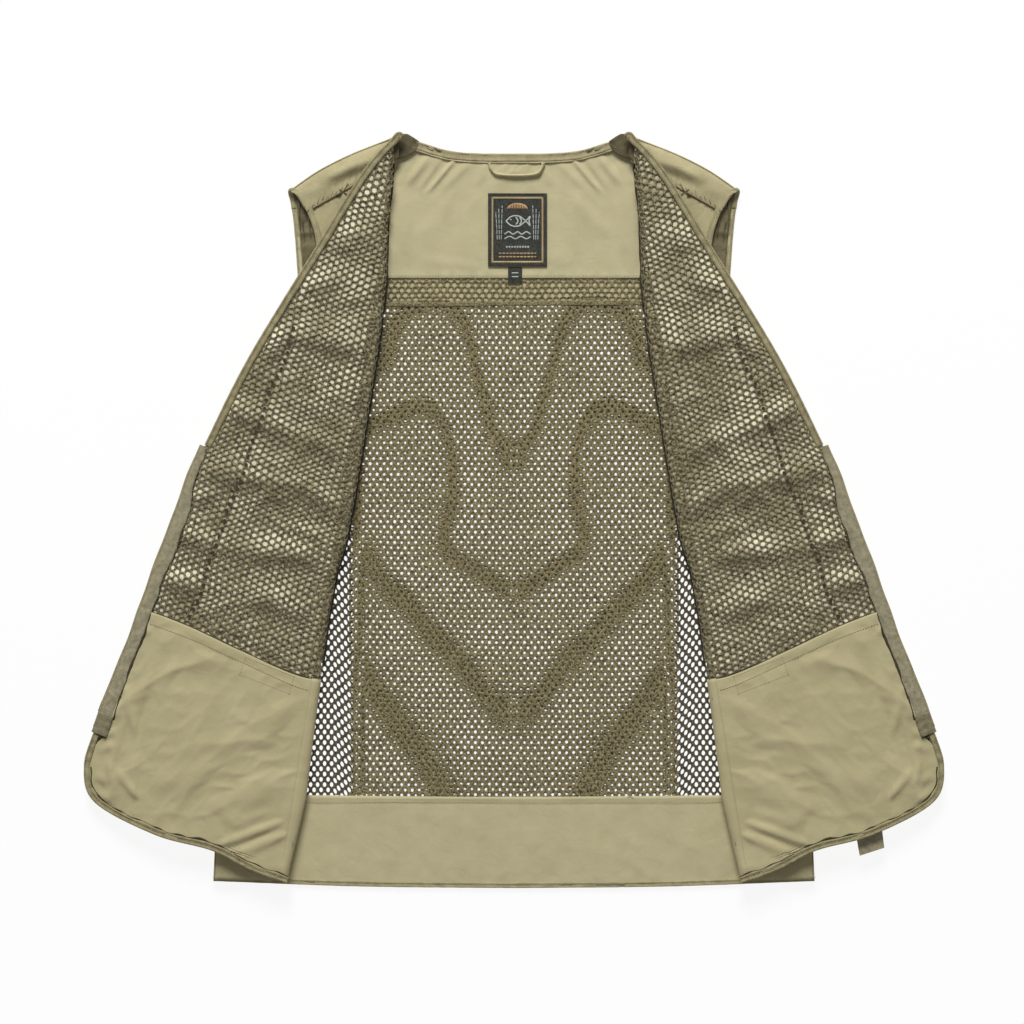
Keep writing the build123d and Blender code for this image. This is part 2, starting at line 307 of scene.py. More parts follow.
def lattice(box, keep, place, hole=(1.72, 2.2), angle=0.0, warp=None, ridge=0.4, pitch=PITCH, row=ROW, openness=None, origin=None):
    """Warp-knit mesh: hexagonal cells with rounded holes. keep(x, y) picks cells, warp moves the
    pattern in its plane, place(x, y, h) puts points in space."""
    outer = np.array([(pitch / 2, 0), (pitch / 2, row / 3), (pitch / 4, row / 2), (0, row * 2 / 3),
                      (-pitch / 4, row / 2), (-pitch / 2, row / 3), (-pitch / 2, 0), (-pitch / 2, -row / 3),
                      (-pitch / 4, -row / 2), (0, -row * 2 / 3), (pitch / 4, -row / 2), (pitch / 2, -row / 3)])
    turn = np.arctan2(outer[:, 1], outer[:, 0])
    inner = np.stack([hole[0] * np.cos(turn), hole[1] * np.sin(turn)], -1)
    x0, x1, y0, y1 = box
    c, s = math.cos(angle), math.sin(angle)
    mx, my = origin if origin else ((x0 + x1) / 2, (y0 + y1) / 2)
    reach = max(math.hypot(a - mx, b - my) for a in (x0, x1) for b in (y0, y1)) + 12
    rows = int(reach / row)
    cols = int(reach / pitch)
    j, i = np.meshgrid(np.arange(-rows, rows + 1), np.arange(-cols, cols + 1), indexing="ij")
    cx = i * pitch + (j % 2) * pitch / 2
    cy = j * row
    centre = np.stack([cx.ravel(), cy.ravel()], -1)

    def world(p):
        x = mx + c * p[..., 0] - s * p[..., 1]
        y = my + s * p[..., 0] + c * p[..., 1]
        return warp(x, y) if warp else (x, y)

    wx, wy = world(centre)
    centre = centre[keep(wx, wy) & (wx > x0) & (wx < x1) & (wy > y0) & (wy < y1)]
    m = len(centre)
    rim = (centre[:, None, :] + outer).reshape(-1, 2)
    rim, index = np.unique(np.round(rim, 3), axis=0, return_inverse=True)
    index = index.reshape(m, 12)
    grow = np.ones(m)
    if openness is not None:
        grow = openness(*world(centre))
    inner = inner[None] * grow[:, None, None]
    mid = inner * 0.45 + outer * 0.55
    ring1 = (centre[:, None, :] + mid).reshape(-1, 2)
    ring2 = (centre[:, None, :] + inner).reshape(-1, 2)
    flat = np.vstack([rim, ring1, ring2])
    h = np.concatenate([np.full(len(rim), ridge), np.full(len(ring1), ridge * 0.8), np.full(len(ring2), -ridge * 0.35)])
    x, y = world(flat)
    verts = np.stack(place(x, y, h), -1)
    n0, n1 = len(rim), len(ring1)
    k = np.arange(12)
    k2 = (k + 1) % 12
    a, b = index, index[:, k2]
    first = n0 + np.arange(m)[:, None] * 12
    p, q = first + k, first + k2
    faces = np.stack([a, b, q, p], -1).reshape(-1, 4)
    faces2 = np.stack([p, q, q + n1, p + n1], -1).reshape(-1, 4)
    return verts, np.vstack([faces, faces2])


# ---------------------------------------------------------------- materials
def lin(rgb):
    c = np.array(rgb, float) / 255
    c = np.where(c <= 0.04045, c / 12.92, ((c + 0.055) / 1.055) ** 2.4)
    return (*c.tolist(), 1.0)


def cloth_material(name, rgb, dark, weave=0.55, bump=0.25, blotch=60.0, rough=0.88, sheen=0.15, rib=False,
                   contrast=0.5, crinkle=0.0):
    """Procedural cloth: a woven or ribbed bump, fine thread grain and slow colour drift."""
    m = bpy.data.materials.new(name)
    m.use_nodes = True
    t = m.node_tree
    b = t.nodes["Principled BSDF"]
    b.inputs["Roughness"].default_value = rough
    b.inputs["Sheen Weight"].default_value = sheen
    b.inputs["Sheen Roughness"].default_value = 0.5
    b.inputs["Specular IOR Level"].default_value = 0.25
    where = t.nodes.new("ShaderNodeTexCoord")
    drift = t.nodes.new("ShaderNodeTexNoise")
    drift.inputs["Scale"].default_value = blotch
    drift.inputs["Detail"].default_value = 4
    grain = t.nodes.new("ShaderNodeTexNoise")
    grain.inputs["Scale"].default_value = 1400
    grain.inputs["Detail"].default_value = 2
    both = t.nodes.new("ShaderNodeMath")
    both.operation = "MULTIPLY_ADD"
    both.inputs[1].default_value = 0.5
    mix = t.nodes.new("ShaderNodeMix")
    mix.data_type = "RGBA"
    mix.inputs[6].default_value = lin(dark)
    mix.inputs[7].default_value = lin(rgb)
    ramp = t.nodes.new("ShaderNodeMapRange")
    ramp.inputs["From Min"].default_value = 0.7 - contrast / 2
    ramp.inputs["From Max"].default_value = 0.7 + contrast / 2
    for n in (drift, grain):
        t.links.new(where.outputs["Object"], n.inputs["Vector"])
    t.links.new(grain.outputs["Fac"], both.inputs[0])
    half = t.nodes.new("ShaderNodeMath")
    half.operation = "MULTIPLY"
    half.inputs[1].default_value = 0.9
    t.links.new(drift.outputs["Fac"], half.inputs[0])
    t.links.new(half.outputs[0], both.inputs[2])
    t.links.new(both.outputs[0], ramp.inputs["Value"])
    t.links.new(ramp.outputs["Result"], mix.inputs[0])
    t.links.new(mix.outputs[2], b.inputs["Base Color"])
    scale = 0.314 / (weave * MM)
    waves_in = []
    for axis in (("X",) if rib else ("X", "Y")):
        w = t.nodes.new("ShaderNodeTexWave")
        w.bands_direction = axis
        w.inputs["Scale"].default_value = scale
        w.inputs["Distortion"].default_value = 0.6
        t.links.new(where.outputs["Object"], w.inputs["Vector"])
        waves_in.append(w.outputs["Fac"])
    height = waves_in[0]
    if not rib:
        m1 = t.nodes.new("ShaderNodeMath")
        m1.operation = "MULTIPLY"
        t.links.new(waves_in[0], m1.inputs[0])
        t.links.new(waves_in[1], m1.inputs[1])
        height = m1.outputs[0]
    bp = t.nodes.new("ShaderNodeBump")
    bp.inputs["Strength"].default_value = bump
    bp.inputs["Distance"].default_value = 0.0002
    t.links.new(height, bp.inputs["Height"])
    if crinkle:
        soft = t.nodes.new("ShaderNodeTexNoise")
        soft.inputs["Scale"].default_value = 75
        soft.inputs["Detail"].default_value = 3
        soft.inputs["Distortion"].default_value = 1.2
        t.links.new(where.outputs["Object"], soft.inputs["Vector"])
        big = t.nodes.new("ShaderNodeBump")
        big.inputs["Strength"].default_value = crinkle
        big.inputs["Distance"].default_value = 0.0025
        t.links.new(soft.outputs["Fac"], big.inputs["Height"])
        t.links.new(big.outputs["Normal"], bp.inputs["Normal"])
    t.links.new(bp.outputs["Normal"], b.inputs["Normal"])
    return m


def hard_material(name, rgb, rough=0.4, metal=0.0):
    """Moulded or enamelled trim with faint wear."""
    m = bpy.data.materials.new(name)
    m.use_nodes = True
    t = m.node_tree
    b = t.nodes["Principled BSDF"]
    b.inputs["Metallic"].default_value = metal
    where = t.nodes.new("ShaderNodeTexCoord")
    n = t.nodes.new("ShaderNodeTexNoise")
    n.inputs["Scale"].default_value = 420
    n.inputs["Detail"].default_value = 5
    t.links.new(where.outputs["Object"], n.inputs["Vector"])
    r = t.nodes.new("ShaderNodeMapRange")
    r.inputs["To Min"].default_value = rough - 0.1
    r.inputs["To Max"].default_value = rough + 0.12
    t.links.new(n.outputs["Fac"], r.inputs["Value"])
    t.links.new(r.outputs["Result"], b.inputs["Roughness"])
    mix = t.nodes.new("ShaderNodeMix")
    mix.data_type = "RGBA"
    c = lin(rgb)
    mix.inputs[6].default_value = (c[0] * 0.8, c[1] * 0.8, c[2] * 0.8, 1)
    mix.inputs[7].default_value = c
    t.links.new(n.outputs["Fac"], mix.inputs[0])
    t.links.new(mix.outputs[2], b.inputs["Base Color"])
    return m


KHAKI = cloth_material("khaki_cloth", (199, 190, 151), (188, 179, 140), crinkle=0.16)
SHOULDER_CLOTH = cloth_material("shoulder_cloth", (186, 176, 138), (168, 158, 120), blotch=90, crinkle=0.3)
POCKET = cloth_material("pocket_cloth", (193, 183, 143), (180, 170, 130), blotch=34, crinkle=0.16)
PATCH = cloth_material("tape_patch_weave", (152, 143, 114), (106, 98, 74), weave=1.0, bump=0.6, blotch=260,
                       contrast=0.6, crinkle=0.4)
BIND = cloth_material("binding_cloth", (180, 170, 133), (150, 140, 106), weave=0.8, bump=0.4, blotch=160,
                      crinkle=0.3)
EDGE = cloth_material("edge_binding_cloth", (172, 162, 125), (132, 123, 90), weave=0.8, bump=0.5, blotch=200,
                      crinkle=0.35)
# Near-white cloth for the side of each front shell that shows through the net: painted light, so that the net's holes
# look bright.
SHELL_INSIDE_PAINTED_LIGHT = cloth_material("shell_inside_painted_light_cloth", (252, 245, 216), (164, 154, 120), blotch=30, contrast=0.3)
# Dark cloth for the armhole lining and the neck and shoulder pleats: painted shade.
SHADE = cloth_material("armhole_lining_painted_shade_cloth", (132, 123, 92), (92, 84, 60), blotch=60, crinkle=0.5)
# Darker cloth for the turned neck corners and the armhole folds: painted shade.
TURNED_PAINTED_SHADE = cloth_material("turned_corner_painted_shade_cloth", (112, 103, 76), (78, 70, 50), blotch=60, crinkle=0.4)
MESH = cloth_material("mesh_thread", (168, 156, 114), (60, 53, 35), weave=0.45, bump=0.6, blotch=620, sheen=0.2,
                      contrast=0.34)
FRONT_MESH = cloth_material("front_mesh_thread", (166, 155, 118), (46, 41, 27), weave=0.45, bump=0.8, blotch=560,
                            sheen=0.2, contrast=0.3)
# Darker thread for the outer back mesh, under the lining, than for the lining's own: painted shade.
OUTER_MESH_PAINTED_SHADE = cloth_material("mesh_thread_outer_painted_shade", (112, 104, 78), (44, 40, 30), weave=0.45, bump=0.5, blotch=620,
                           contrast=0.4)
TAPE = cloth_material("zip_tape_weave", (176, 168, 140), (128, 120, 94), weave=1.1, bump=0.5, blotch=240,
                      contrast=0.6, crinkle=0.35)
THREAD = cloth_material("sewing_thread", (166, 156, 118), (140, 131, 96), weave=0.3, bump=0.3)
DARK_THREAD = cloth_material("stitch_shadow_thread", (92, 84, 60), (66, 60, 42), weave=0.3, bump=0.3)
# Near-black cloth for narrow strips in seams, gaps, holes and under edges: painted shadow.
PAINTED_SHADOW = cloth_material("seam_painted_shadow_cloth", (82, 74, 53), (46, 41, 28), weave=0.6, bump=0.4, blotch=300)
COIL = hard_material("zip_coil_nylon", (120, 111, 82), 0.45)
ENAMEL = hard_material("zip_enamel", (84, 80, 58), 0.35, 0.4)
LABEL = cloth_material("label_satin", (76, 78, 68), (14, 16, 13), weave=0.5, bump=0.6, blotch=800, rough=0.6,
                       contrast=0.4)
GOLD = cloth_material("label_gold_thread", (232, 212, 166), (182, 148, 96), weave=0.3, bump=0.4, rough=0.55)
AMBER = cloth_material("label_amber_thread", (228, 190, 140), (188, 140, 90), weave=0.3, bump=0.4, rough=0.55)
SILVER = cloth_material("label_pale_thread", (216, 220, 214), (160, 166, 160), weave=0.3, bump=0.4, rough=0.55)
PILE = cloth_material("hook_loop_pile", (158, 149, 112), (128, 119, 86), weave=0.9, bump=0.9)


def dress(obj, body, nodes=()):
    """Body and replaced nodes in one go."""
    if body:
        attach(obj, body)
    if nodes:
        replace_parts(obj, *nodes)
    return obj


def rolled_blend(obj):
    """Cloth that rolls over a front's hinge line: its transform is baked into its mesh."""
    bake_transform(obj)


# ---------------------------------------------------------------- back
neck = smooth(NECK, 2)
shoulder = smooth(SHOULDER, 2)
arm_back = smooth(ARM_BACK, 2)
arm_front = smooth(ARM_FRONT, 2)
side_seam = smooth(SEAM_SIDE, 2)
hem = smooth(HEM[::-1], 3)
front_edge = smooth(FRONT_EDGE, 1.5)
corner = smooth(CORNER, 1.5)
zip_line = smooth(ZIP, 1.5)


def half_width(y):
    """Half the back's width at a height."""
    pts = np.vstack([[(204.8, 292)], arm_back, side_seam])
    order = np.argsort(pts[:, 1])
    return np.interp(y, pts[order, 1], pts[order, 0])


def top_edge(x):
    pts = np.vstack([neck, shoulder[1:]])
    return np.interp(np.abs(x), pts[:, 0], pts[:, 1])


# Dark bands in the doubled mesh of the back: the two layers' cells drift apart and together
# again. Phase at points (|x|, y): whole numbers where the holes line up, halves between.
BAND = np.array([
    (0, 190, 0.0), (0, 120, 0.0), (0, 75, 0.12), (18, 187, 0.05), (22, 150, 0.1), (10, 105, 0.1),
    (50, 188, 0.4), (45, 169, 0.5), (36, 137, 0.5), (23, 92, 0.5), (9, 64, 0.5), (0, 38, 0.5),
    (62, 130, 0.95), (85, 150, 1.0), (105, 110, 1.0), (48, 70, 1.0), (27, 28, 1.0), (0, 5, 1.0), (14, 20, 1.0),
    (36, -17, 1.08), (18, -30, 1.1), (0, -40, 1.15), (50, -24, 1.2),
    (126, 79, 1.5), (91, 95, 1.5), (58, 66, 1.5), (52, 24, 1.42), (56, -10, 1.42), (65, -30, 1.5), (41, -50, 1.5),
    (14, -69, 1.5), (0, -75, 1.55),
    (113, 140, 0.5), (70, 188, 0.5), (135, 185, 0.05), (130, 160, 0.3),
    (120, 30, 2.0), (90, 20, 2.0), (90, -30, 2.0), (62, -66, 2.0), (30, -92, 2.05), (5, -110, 2.1),
    (130, -10, 2.15), (100, -55, 2.15), (60, -100, 2.2), (20, -140, 2.25), (0, -160, 2.35),
    (140, -36, 2.5), (100, -82, 2.5), (60, -125, 2.5), (14, -181, 2.5),
    (145, -90, 3.0), (110, -125, 3.0), (70, -165, 3.0), (30, -205, 3.0), (0, -235, 3.05),
    (145, -140, 3.5), (110, -190, 3.5), (70, -250, 3.5), (140, -205, 4.0), (110, -250, 4.0), (146, -256, 4.25),
])


def kernel(r2):
    return 0.5 * r2 * np.log(r2 + 1e-9)


def fit_band():
    """Thin-plate surface through the phase points, mirrored so that it is even in x."""
    p = np.vstack([BAND, BAND[BAND[:, 0] > 0] * (-1, 1, 1)])
    q = p[:, :2] / 100
    n = len(q)
    r2 = ((q[:, None] - q[None]) ** 2).sum(-1)
    a = np.zeros((n + 3, n + 3))
    a[:n, :n] = kernel(r2) + np.eye(n) * 0.002
    a[:n, n] = 1
    a[:n, n + 1:] = q
    a[n, :n] = 1
    a[n + 1:, :n] = q.T
    return q, np.linalg.solve(a, np.concatenate([p[:, 2], np.zeros(3)]))


BAND_AT, BAND_W = fit_band()


def phase(x, y):
    q = np.stack([np.ravel(x), np.ravel(y)], -1) / 100
    out = np.zeros(len(q))
    for k in range(0, len(q), 20000):
        r2 = ((q[k:k + 20000, None] - BAND_AT[None]) ** 2).sum(-1)
        out[k:k + 20000] = kernel(r2) @ BAND_W[:-3] + BAND_W[-3] + q[k:k + 20000] @ BAND_W[-2:]
    for k in (0.85, 0.5):
        out -= k * np.sin(2 * np.pi * out) / (2 * np.pi)
    x, y = np.asarray(x), np.asarray(y)
    return out.reshape(x.shape) + 0.035 * waves(x, y, 26, 301) + 0.025 * waves(x, y, 10, 302)


def drift(x, y, share):
    """One layer's part of the shift between the two, fading outside the doubled panel."""
    inner = np.clip((165 - np.abs(x)) / 30, 0, 1) * np.clip((212 - y) / 20, 0, 1)
    return share * 2 * ROW * phase(np.clip(x, -152, 152), np.clip(y, -262, 200)) * inner


def back_ripple(x, y):
    return 0.35 * waves(x, y, 70, 3) + 0.2 * waves(x, y, 24, 4)


def outer_mesh_place(x, y, h):
    return x, y, 0.55 + np.maximum(0.15 * waves(x, y, 50, 5), -0.1) + h * 0.7


def lining_place(x, y, h):
    return x, y, 1.75 + np.maximum(back_ripple(x, y), -0.3) * 0.8 + h * 0.7


def make_back_mesh():
    for side, sign in SIDES:
        def keep(x, y, sign=sign):
            return (x * sign >= 0) & (np.abs(x) < half_width(y) - 5.5)
        box = (0, 276, -262, 192) if sign > 0 else (-276, 0, -262, 192)
        # The outer layer's thread is darker than the lining's: painted shade
        v, f = lattice(box, keep, outer_mesh_place, hole=(1.6, 2.2), origin=(0, 0),
                       warp=lambda x, y: (x, y - drift(x, y, 0.5) * 1.0))
        o = add(f"back_mesh_outer_{side}", v, f, OUTER_MESH_PAINTED_SHADE)
        dress(o, "vest_back", ("back_mesh_outer",))

    def keep(x, y):
        return np.abs(x) < 149.5
    v, f = lattice((-150, 150, -262, 214), keep, lining_place, hole=(1.07, 1.22), ridge=0.5, origin=(0, 0),
                   warp=lambda x, y: (x, y + drift(x, y, 0.5)),
                   openness=lambda x, y: np.where(y > 189, 1.75, 1.0)
                   * np.clip(1 + 0.12 * waves(x, y, 45, 7) + 0.1 * waves(x, y, 9, 8), 0.6, 1.25))
    o = add("back_mesh_lining_net", v, f, MESH)
    dress(o, "vest_back", ("back_mesh_lining",))


make_back_mesh()


def back_panel(name, y_low, z, thick, material, nodes, rise=None):
    """Yoke layer from a straight seam up to the neck, shoulder and armhole."""
    nu, nv = (300, 112) if rise else (100, 40)
    u = np.linspace(-1, 1, nu + 1)[:, None]
    v = np.linspace(0, 1, nv + 1)[None, :]
    edge = 204.8 - 2
    x = u * edge + 0 * v
    y_top = top_edge(x) - 2
    y = y_low + (y_top - y_low) * v
    wide = half_width(np.minimum(y, 292)) - 2
    x = u * np.minimum(edge, wide)
    h = np.zeros_like(x)
    if rise:
        h = rise(x, y)
    verts, faces = slab(np.stack([x, y, z + h], -1), thick)
    o = add(name, verts, faces, material)
    dress(o, "vest_back", nodes)
    return o


def yoke_rise(x, y):
    a = np.abs(x)
    h = 0.4 + 0.35 * waves(x, y, 80, 21) + 0.5 * crumple(a, y, 40, 22, angle=-1.1, spread=0.5)
    h += creases(a, y, [(52, 323, 79, 290, 2.0, 2.4), (56.5, 324, 83, 292, 2.4, -1.3), (77, 325, 98, 297, 4, 2.2),
                        (83, 325, 103, 299, 3.5, -0.8),
                        (66, 322, 88, 290, 4, 0.9), (92, 318, 106, 296, 4, 1.0),
                        (40, 320, 66, 292, 4, 1.0), (24, 318, 34, 296, 4, 0.8), (100, 300, 98, 226, 8, 1.2),
                        (106, 300, 112, 220, 6, 1.4), (52, 292, 88, 246, 9, 0.8), (62, 322, 74, 300, 2.5, -0.8),
                        (120, 300, 170, 262, 7, 0.8)])
    h += 1.3 * crumple(x, y, 9, 24, angle=1.2, spread=0.7) * np.exp(-((a - 4) / 21) ** 4 - ((y - 312) / 7) ** 2)
    h += creases(x, y, [(-40, 236, 60, 228, 7, 0.6), (-90, 230, -30, 222, 5, 0.5), (50, 286, 90, 250, 7, 0.5)])
    h += 0.5 * np.exp(-((y - 214) / 4.0) ** 2) * (0.5 + 0.5 * waves(x, y, 9, 23, stretch=(1, 0.2)))
    return np.clip(h, 0, 4)


back_panel("yoke_outer_cloth", 189.3, 0.8, 0.7, KHAKI, ("back_yoke_outer",))
back_panel("yoke_lining_cloth", 212.3, 1.9, 0.6, KHAKI, ("yoke_lining",), yoke_rise)


def hem_panel(name, z, thick, material, nodes, rise):
    nu, nv = 180, 30
    u = np.linspace(-1, 1, nu + 1)[:, None]
    v = np.linspace(0, 1, nv + 1)[None, :]
    low = np.interp(np.abs(u * 272), hem[:, 0], hem[:, 1]) + 2
    top = -259.0 - 1.5 * np.cos(u * np.pi / 2) ** 2
    y = low + (top - low) * v
    x = u * (half_width(y) - 1.8)
    verts, faces = slab(np.stack([x, y, z + rise(x, y)], -1), thick)
    o = add(name, verts, faces, material)
    dress(o, "vest_back", nodes)


def hem_rise(x, y):
    edge = 0.6 * np.exp(-((y + 261) / 3.0) ** 2)
    seam = -0.5 * np.exp(-((y + 266) / 1.2) ** 2)
    pucker = 0.3 * np.exp(-((y + 264) / 6.0) ** 2) * waves(x, y, 10, 33, stretch=(1, 0.3))
    low = 0.35 * np.exp(-((y + 335) / 6.0) ** 2) * waves(x, y, 13, 34, stretch=(1, 0.3))
    soft = 0.35 * waves(x, y, 90, 31, stretch=(1, 0.5)) + 0.7 * crumple(x, y, 38, 32, angle=-0.2, spread=0.5)
    return np.clip(0.35 + soft + edge + seam + pucker + low, 0, 2.4)


hem_panel("hem_band_cloth", 0.8, 0.7, KHAKI, ("hem_band",), lambda x, y: 0 * x)
hem_panel("hem_facing_cloth", 1.9, 0.6, KHAKI, ("hem_facing",), hem_rise)


def binding(name, path, z, inner, outer, low, high, body, nodes, side=1, material=None,
            seed=1, pucker=0.22, ridge=-0.1, rim=0.35):
    """Bias binding: a folded strip with a raised rim along each side, puckered along its length."""
    p = np.array(path, float)
    if p.shape[1] == 2:
        p = np.column_stack([p, np.broadcast_to(z, len(p))])
    n = len(p)
    base = np.array(flat_profile(inner, outer, low, high, ridge, rim))
    prof = np.broadcast_to(base, (n, *base.shape)).copy()
    dist = np.concatenate([[0], np.cumsum(np.hypot(*np.diff(p[:, :2], axis=0).T))])
    r = waves(dist, 0 * dist, 11, seed, count=9) * pucker
    r2 = waves(dist, 0 * dist, 26, seed + 1, count=9) * pucker
    prof[:, 2:7, 1] += r[:, None]
    prof[:, 4, 1] += r2
    prof[:, 6:11, 0] += (r2 * 0.9)[:, None]
    prof[:, 0, 0] += r * 0.3
    v, f = tube(p, prof)
    o = add(name, v, f, material or BIND, side)
    if body:
        dress(o, body, nodes)
    else:
        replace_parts(o, *nodes) if nodes else None
    return o


whole_neck = np.vstack([neck[::-1] * (-1, 1), neck[1:]])
whole_neck = whole_neck[np.abs(whole_neck[:, 0]) < 91]
neck_z = 0.2 + 4.0 * np.clip((np.abs(whole_neck[:, 0]) - 62) / 42, 0, 1) ** 1.6
binding("neck_binding_tape", np.column_stack([whole_neck, neck_z]), None, -8, 0, 0.1, 3.7, "vest_back",
        ("neck_binding",), seed=41, rim=0.6)
whole_hem = np.vstack([hem[::-1], hem[1:] * (-1, 1)])
binding("hem_binding_tape", whole_hem, 0.0, -5.2, 0, 0.0, 3.0, "vest_back", ("back_hem_binding",), seed=43)


def stitch_piece(name, paths, body, side=1, material=None, slot="binding", **k):
    v, f = merge([stitches(p, **k) for p in paths])
    o = add(name, v, f, material or THREAD, side)
    return dress(o, body)


def lifted(path, z):
    p = np.array(path, float)
    return np.column_stack([p[:, :2], np.broadcast_to(z, len(p))])


neck_in = whole_neck - normals(whole_neck) * 1.4
neck_in2 = whole_neck - normals(whole_neck) * 6.6
piping = whole_neck - normals(whole_neck) * 8.3
v, f = tube(np.column_stack([piping, neck_z + 3.0]),
            [(0.75 * math.cos(a), 0.75 * math.sin(a)) for a in np.linspace(0, 2 * math.pi, 8, endpoint=False)])
dress(add("neck_piping", v, f, KHAKI), "vest_back")
yoke_seam = np.array([(x, 214.4) for x in np.linspace(-128, 128, 60)])
stitch_piece("back_stitching", [
    lifted(neck_in, neck_z + 3.9), lifted(neck_in2, neck_z + 3.9),
    lifted([(x, y + 3.8) for x, y in whole_hem], 3.05),
    lifted(yoke_seam, 1.9 + yoke_rise(yoke_seam[:, 0], yoke_seam[:, 1]) + 0.05),
    lifted([(x, -265.5) for x in np.linspace(-262, 262, 150)], 3.0),
], "vest_back")

# The seam allowance turned in at each corner of the neck, in a dark cloth that is painted shade
for side, sign in SIDES:
    u = np.linspace(0, 1, 25)[:, None]
    w = np.linspace(0, 1, 21)[None, :]
    x = 86.6 + 19.6 * u + 0 * w
    hi = np.interp(x, [86.6, 89, 92, 97, 102, 106.6], [336.6, 338.4, 340.4, 343.3, 343.3, 341.4])
    lo = np.interp(x, [86.6, 88, 89.6, 94, 100.3, 106.6], [335.5, 331.5, 328.6, 325.2, 322.2, 320.4])
    y = lo + (hi - lo) * w
    z = 6.35 + 0.5 * u + 0.6 * w + 0.45 * waves(x, y, 10, 162) * np.sin(np.pi * w)
    v, f = slab(np.stack([x, y, np.minimum(z, 7.9)], -1), 0.6)
    dress(add(f"{side}_neck_corner_painted_shade_cloth", v, f, TURNED_PAINTED_SHADE, sign), "vest_back", ())

    x = 104.6 + 4.4 * u + 0 * w
    foot = np.interp(x, [104.6, 109], [321.5, 317.5])
    y = foot + (np.interp(x, [104.6, 106, 109], [342.4, 341.6, 337.5]) - foot) * w
    v, f = slab(np.stack([x, y, 11.2 + 0.5 * waves(x, y, 9, 163)], -1), 0.5)
    dress(add(f"{side}_neck_corner_turn_painted_shade", v, f, TURNED_PAINTED_SHADE, sign), "vest_back")
    # Small pleats by the neck corner as thin strips of dark cloth: painted shade in their folds
    painted_shade_pleats = [tube(lifted(smooth(p, 0.8), 4.9), [(0.26, -0.9), (0.15, 0.2), (-0.15, 0.2), (-0.26, -0.9)]) for p in (
        [(83.2, 335), (79.6, 332.6), (77.2, 332)], [(80, 331.4), (76.4, 329.2), (73.4, 328.8)],
        [(72.6, 331.2), (69.4, 328.6), (66.4, 327.9)])]
    dress(add(f"{side}_neck_pleats", *merge(painted_shade_pleats), SHADE, sign), "vest_back")

# Seam ridge across the mesh under the yoke
seam_x = np.linspace(-130, 130, 131)
seam_y = 189 + 0.6 * np.sin(seam_x / 60)
v, f = tube(np.column_stack([seam_x, seam_y, 2.0 + 0 * seam_x]), flat_profile(-2.2, 2.2, -0.4, 0.75, 0.2))
dress(add("back_mesh_seam", v, f, MESH), "vest_back")


# ---------------------------------------------------------------- label, size tab, hang loop
LX, LY, LW, LH = 3.2, 256.2, 53.7, 66.5


def label_z(x, y):
    return 3.9 + yoke_rise(x, y) * 0.55


def label_panel(name, cx, cy, w, h, z, thick, material, nodes, body, nu=40, nv=48, flat=None):
    u = np.linspace(-0.5, 0.5, nu + 1)[:, None]
    v = np.linspace(-0.5, 0.5, nv + 1)[None, :]
    x, y = cx + u * w + 0 * v, cy + v * h + 0 * u
    top = (z(x, y) if callable(z) else z + 0 * x)
    verts, faces = slab(np.stack([x, y, top], -1), thick)
    o = add(name, verts, faces, material, sharp=40)
    dress(o, body, nodes)
    return o


label_panel("woven_label_cloth", LX, LY, LW, LH, label_z, 0.7, LABEL, ("woven_label",), "vest_back")


def on_label(points, lift=0.12, closed=False):
    p = np.array(points, float)
    if closed:
        p = np.vstack([p, p[:1]])
    p = smooth(p, 0.8) if len(p) > 2 and not closed else resample(p, 0.8)
    x, y = LX + p[:, 0], LY + p[:, 1]
    return np.column_stack([x, y, label_z(x, y) + lift])


def resample(p, step):
    size = np.hypot(*np.diff(p, axis=0).T)
    dist = np.concatenate([[0], np.cumsum(size)])
    at = np.linspace(0, dist[-1], max(int(dist[-1] / step), 2))
    return np.stack([np.interp(at, dist, p[:, k]) for k in range(2)], -1)


def dashes(path, dash):
    """The path cut into satin-stitch runs of so many points, with a point's gap between them."""
    if not dash:
        return [path]
    return [path[k:k + dash + 1] for k in range(0, len(path) - 1, dash + 1) if len(path[k:k + dash + 1]) > 1]


def embroidery(name, lines, material, width=0.5, dash=0):
    parts = []
    for line in (piece for path in lines for piece in dashes(path, dash)):
        prof = [(width, 0), (width * 0.6, 0.16), (-width * 0.6, 0.16), (-width, 0), (0, -0.2)]
        parts.append(tube(line, prof))
    v, f = merge(parts)
    return dress(add(name, v, f, material), "vest_back")


def rect(w, h):
    return [(-w, -h), (w, -h), (w, h), (-w, h)]


fish = [(-9, 0), (-4, 4.2), (3, 4.4), (9, 0.6), (13, 4.4), (12, 0), (13, -4.4), (9, -0.6), (3, -4.4), (-4, -4.2), (-9, 0)]
embroidery("label_border", [on_label(rect(22.6, 29), closed=True)], GOLD, 0.5)
embroidery("label_border_edge", [on_label(rect(23.6, 30), closed=True)], GOLD, 0.22, dash=2)
embroidery("label_bars", [on_label([(-17, -21.4), (0, -21.4), (17, -21.4)]),
                          on_label([(-17, -24.6), (0, -24.6), (17, -24.6)])], AMBER, 0.55, dash=3)
reeds = [[(x0, -9), (x0 + lean * 0.3, 3), (x0 + lean, 16 + 3 * k)] for side in (-1, 1)
         for k, (x0, lean) in enumerate(((side * 18.5, side * 1.4), (side * 16.6, side * 0.4), (side * 14.8, side * -0.9)))]
embroidery("label_reeds", [on_label(r) for r in reeds], SILVER, 0.36, dash=5)
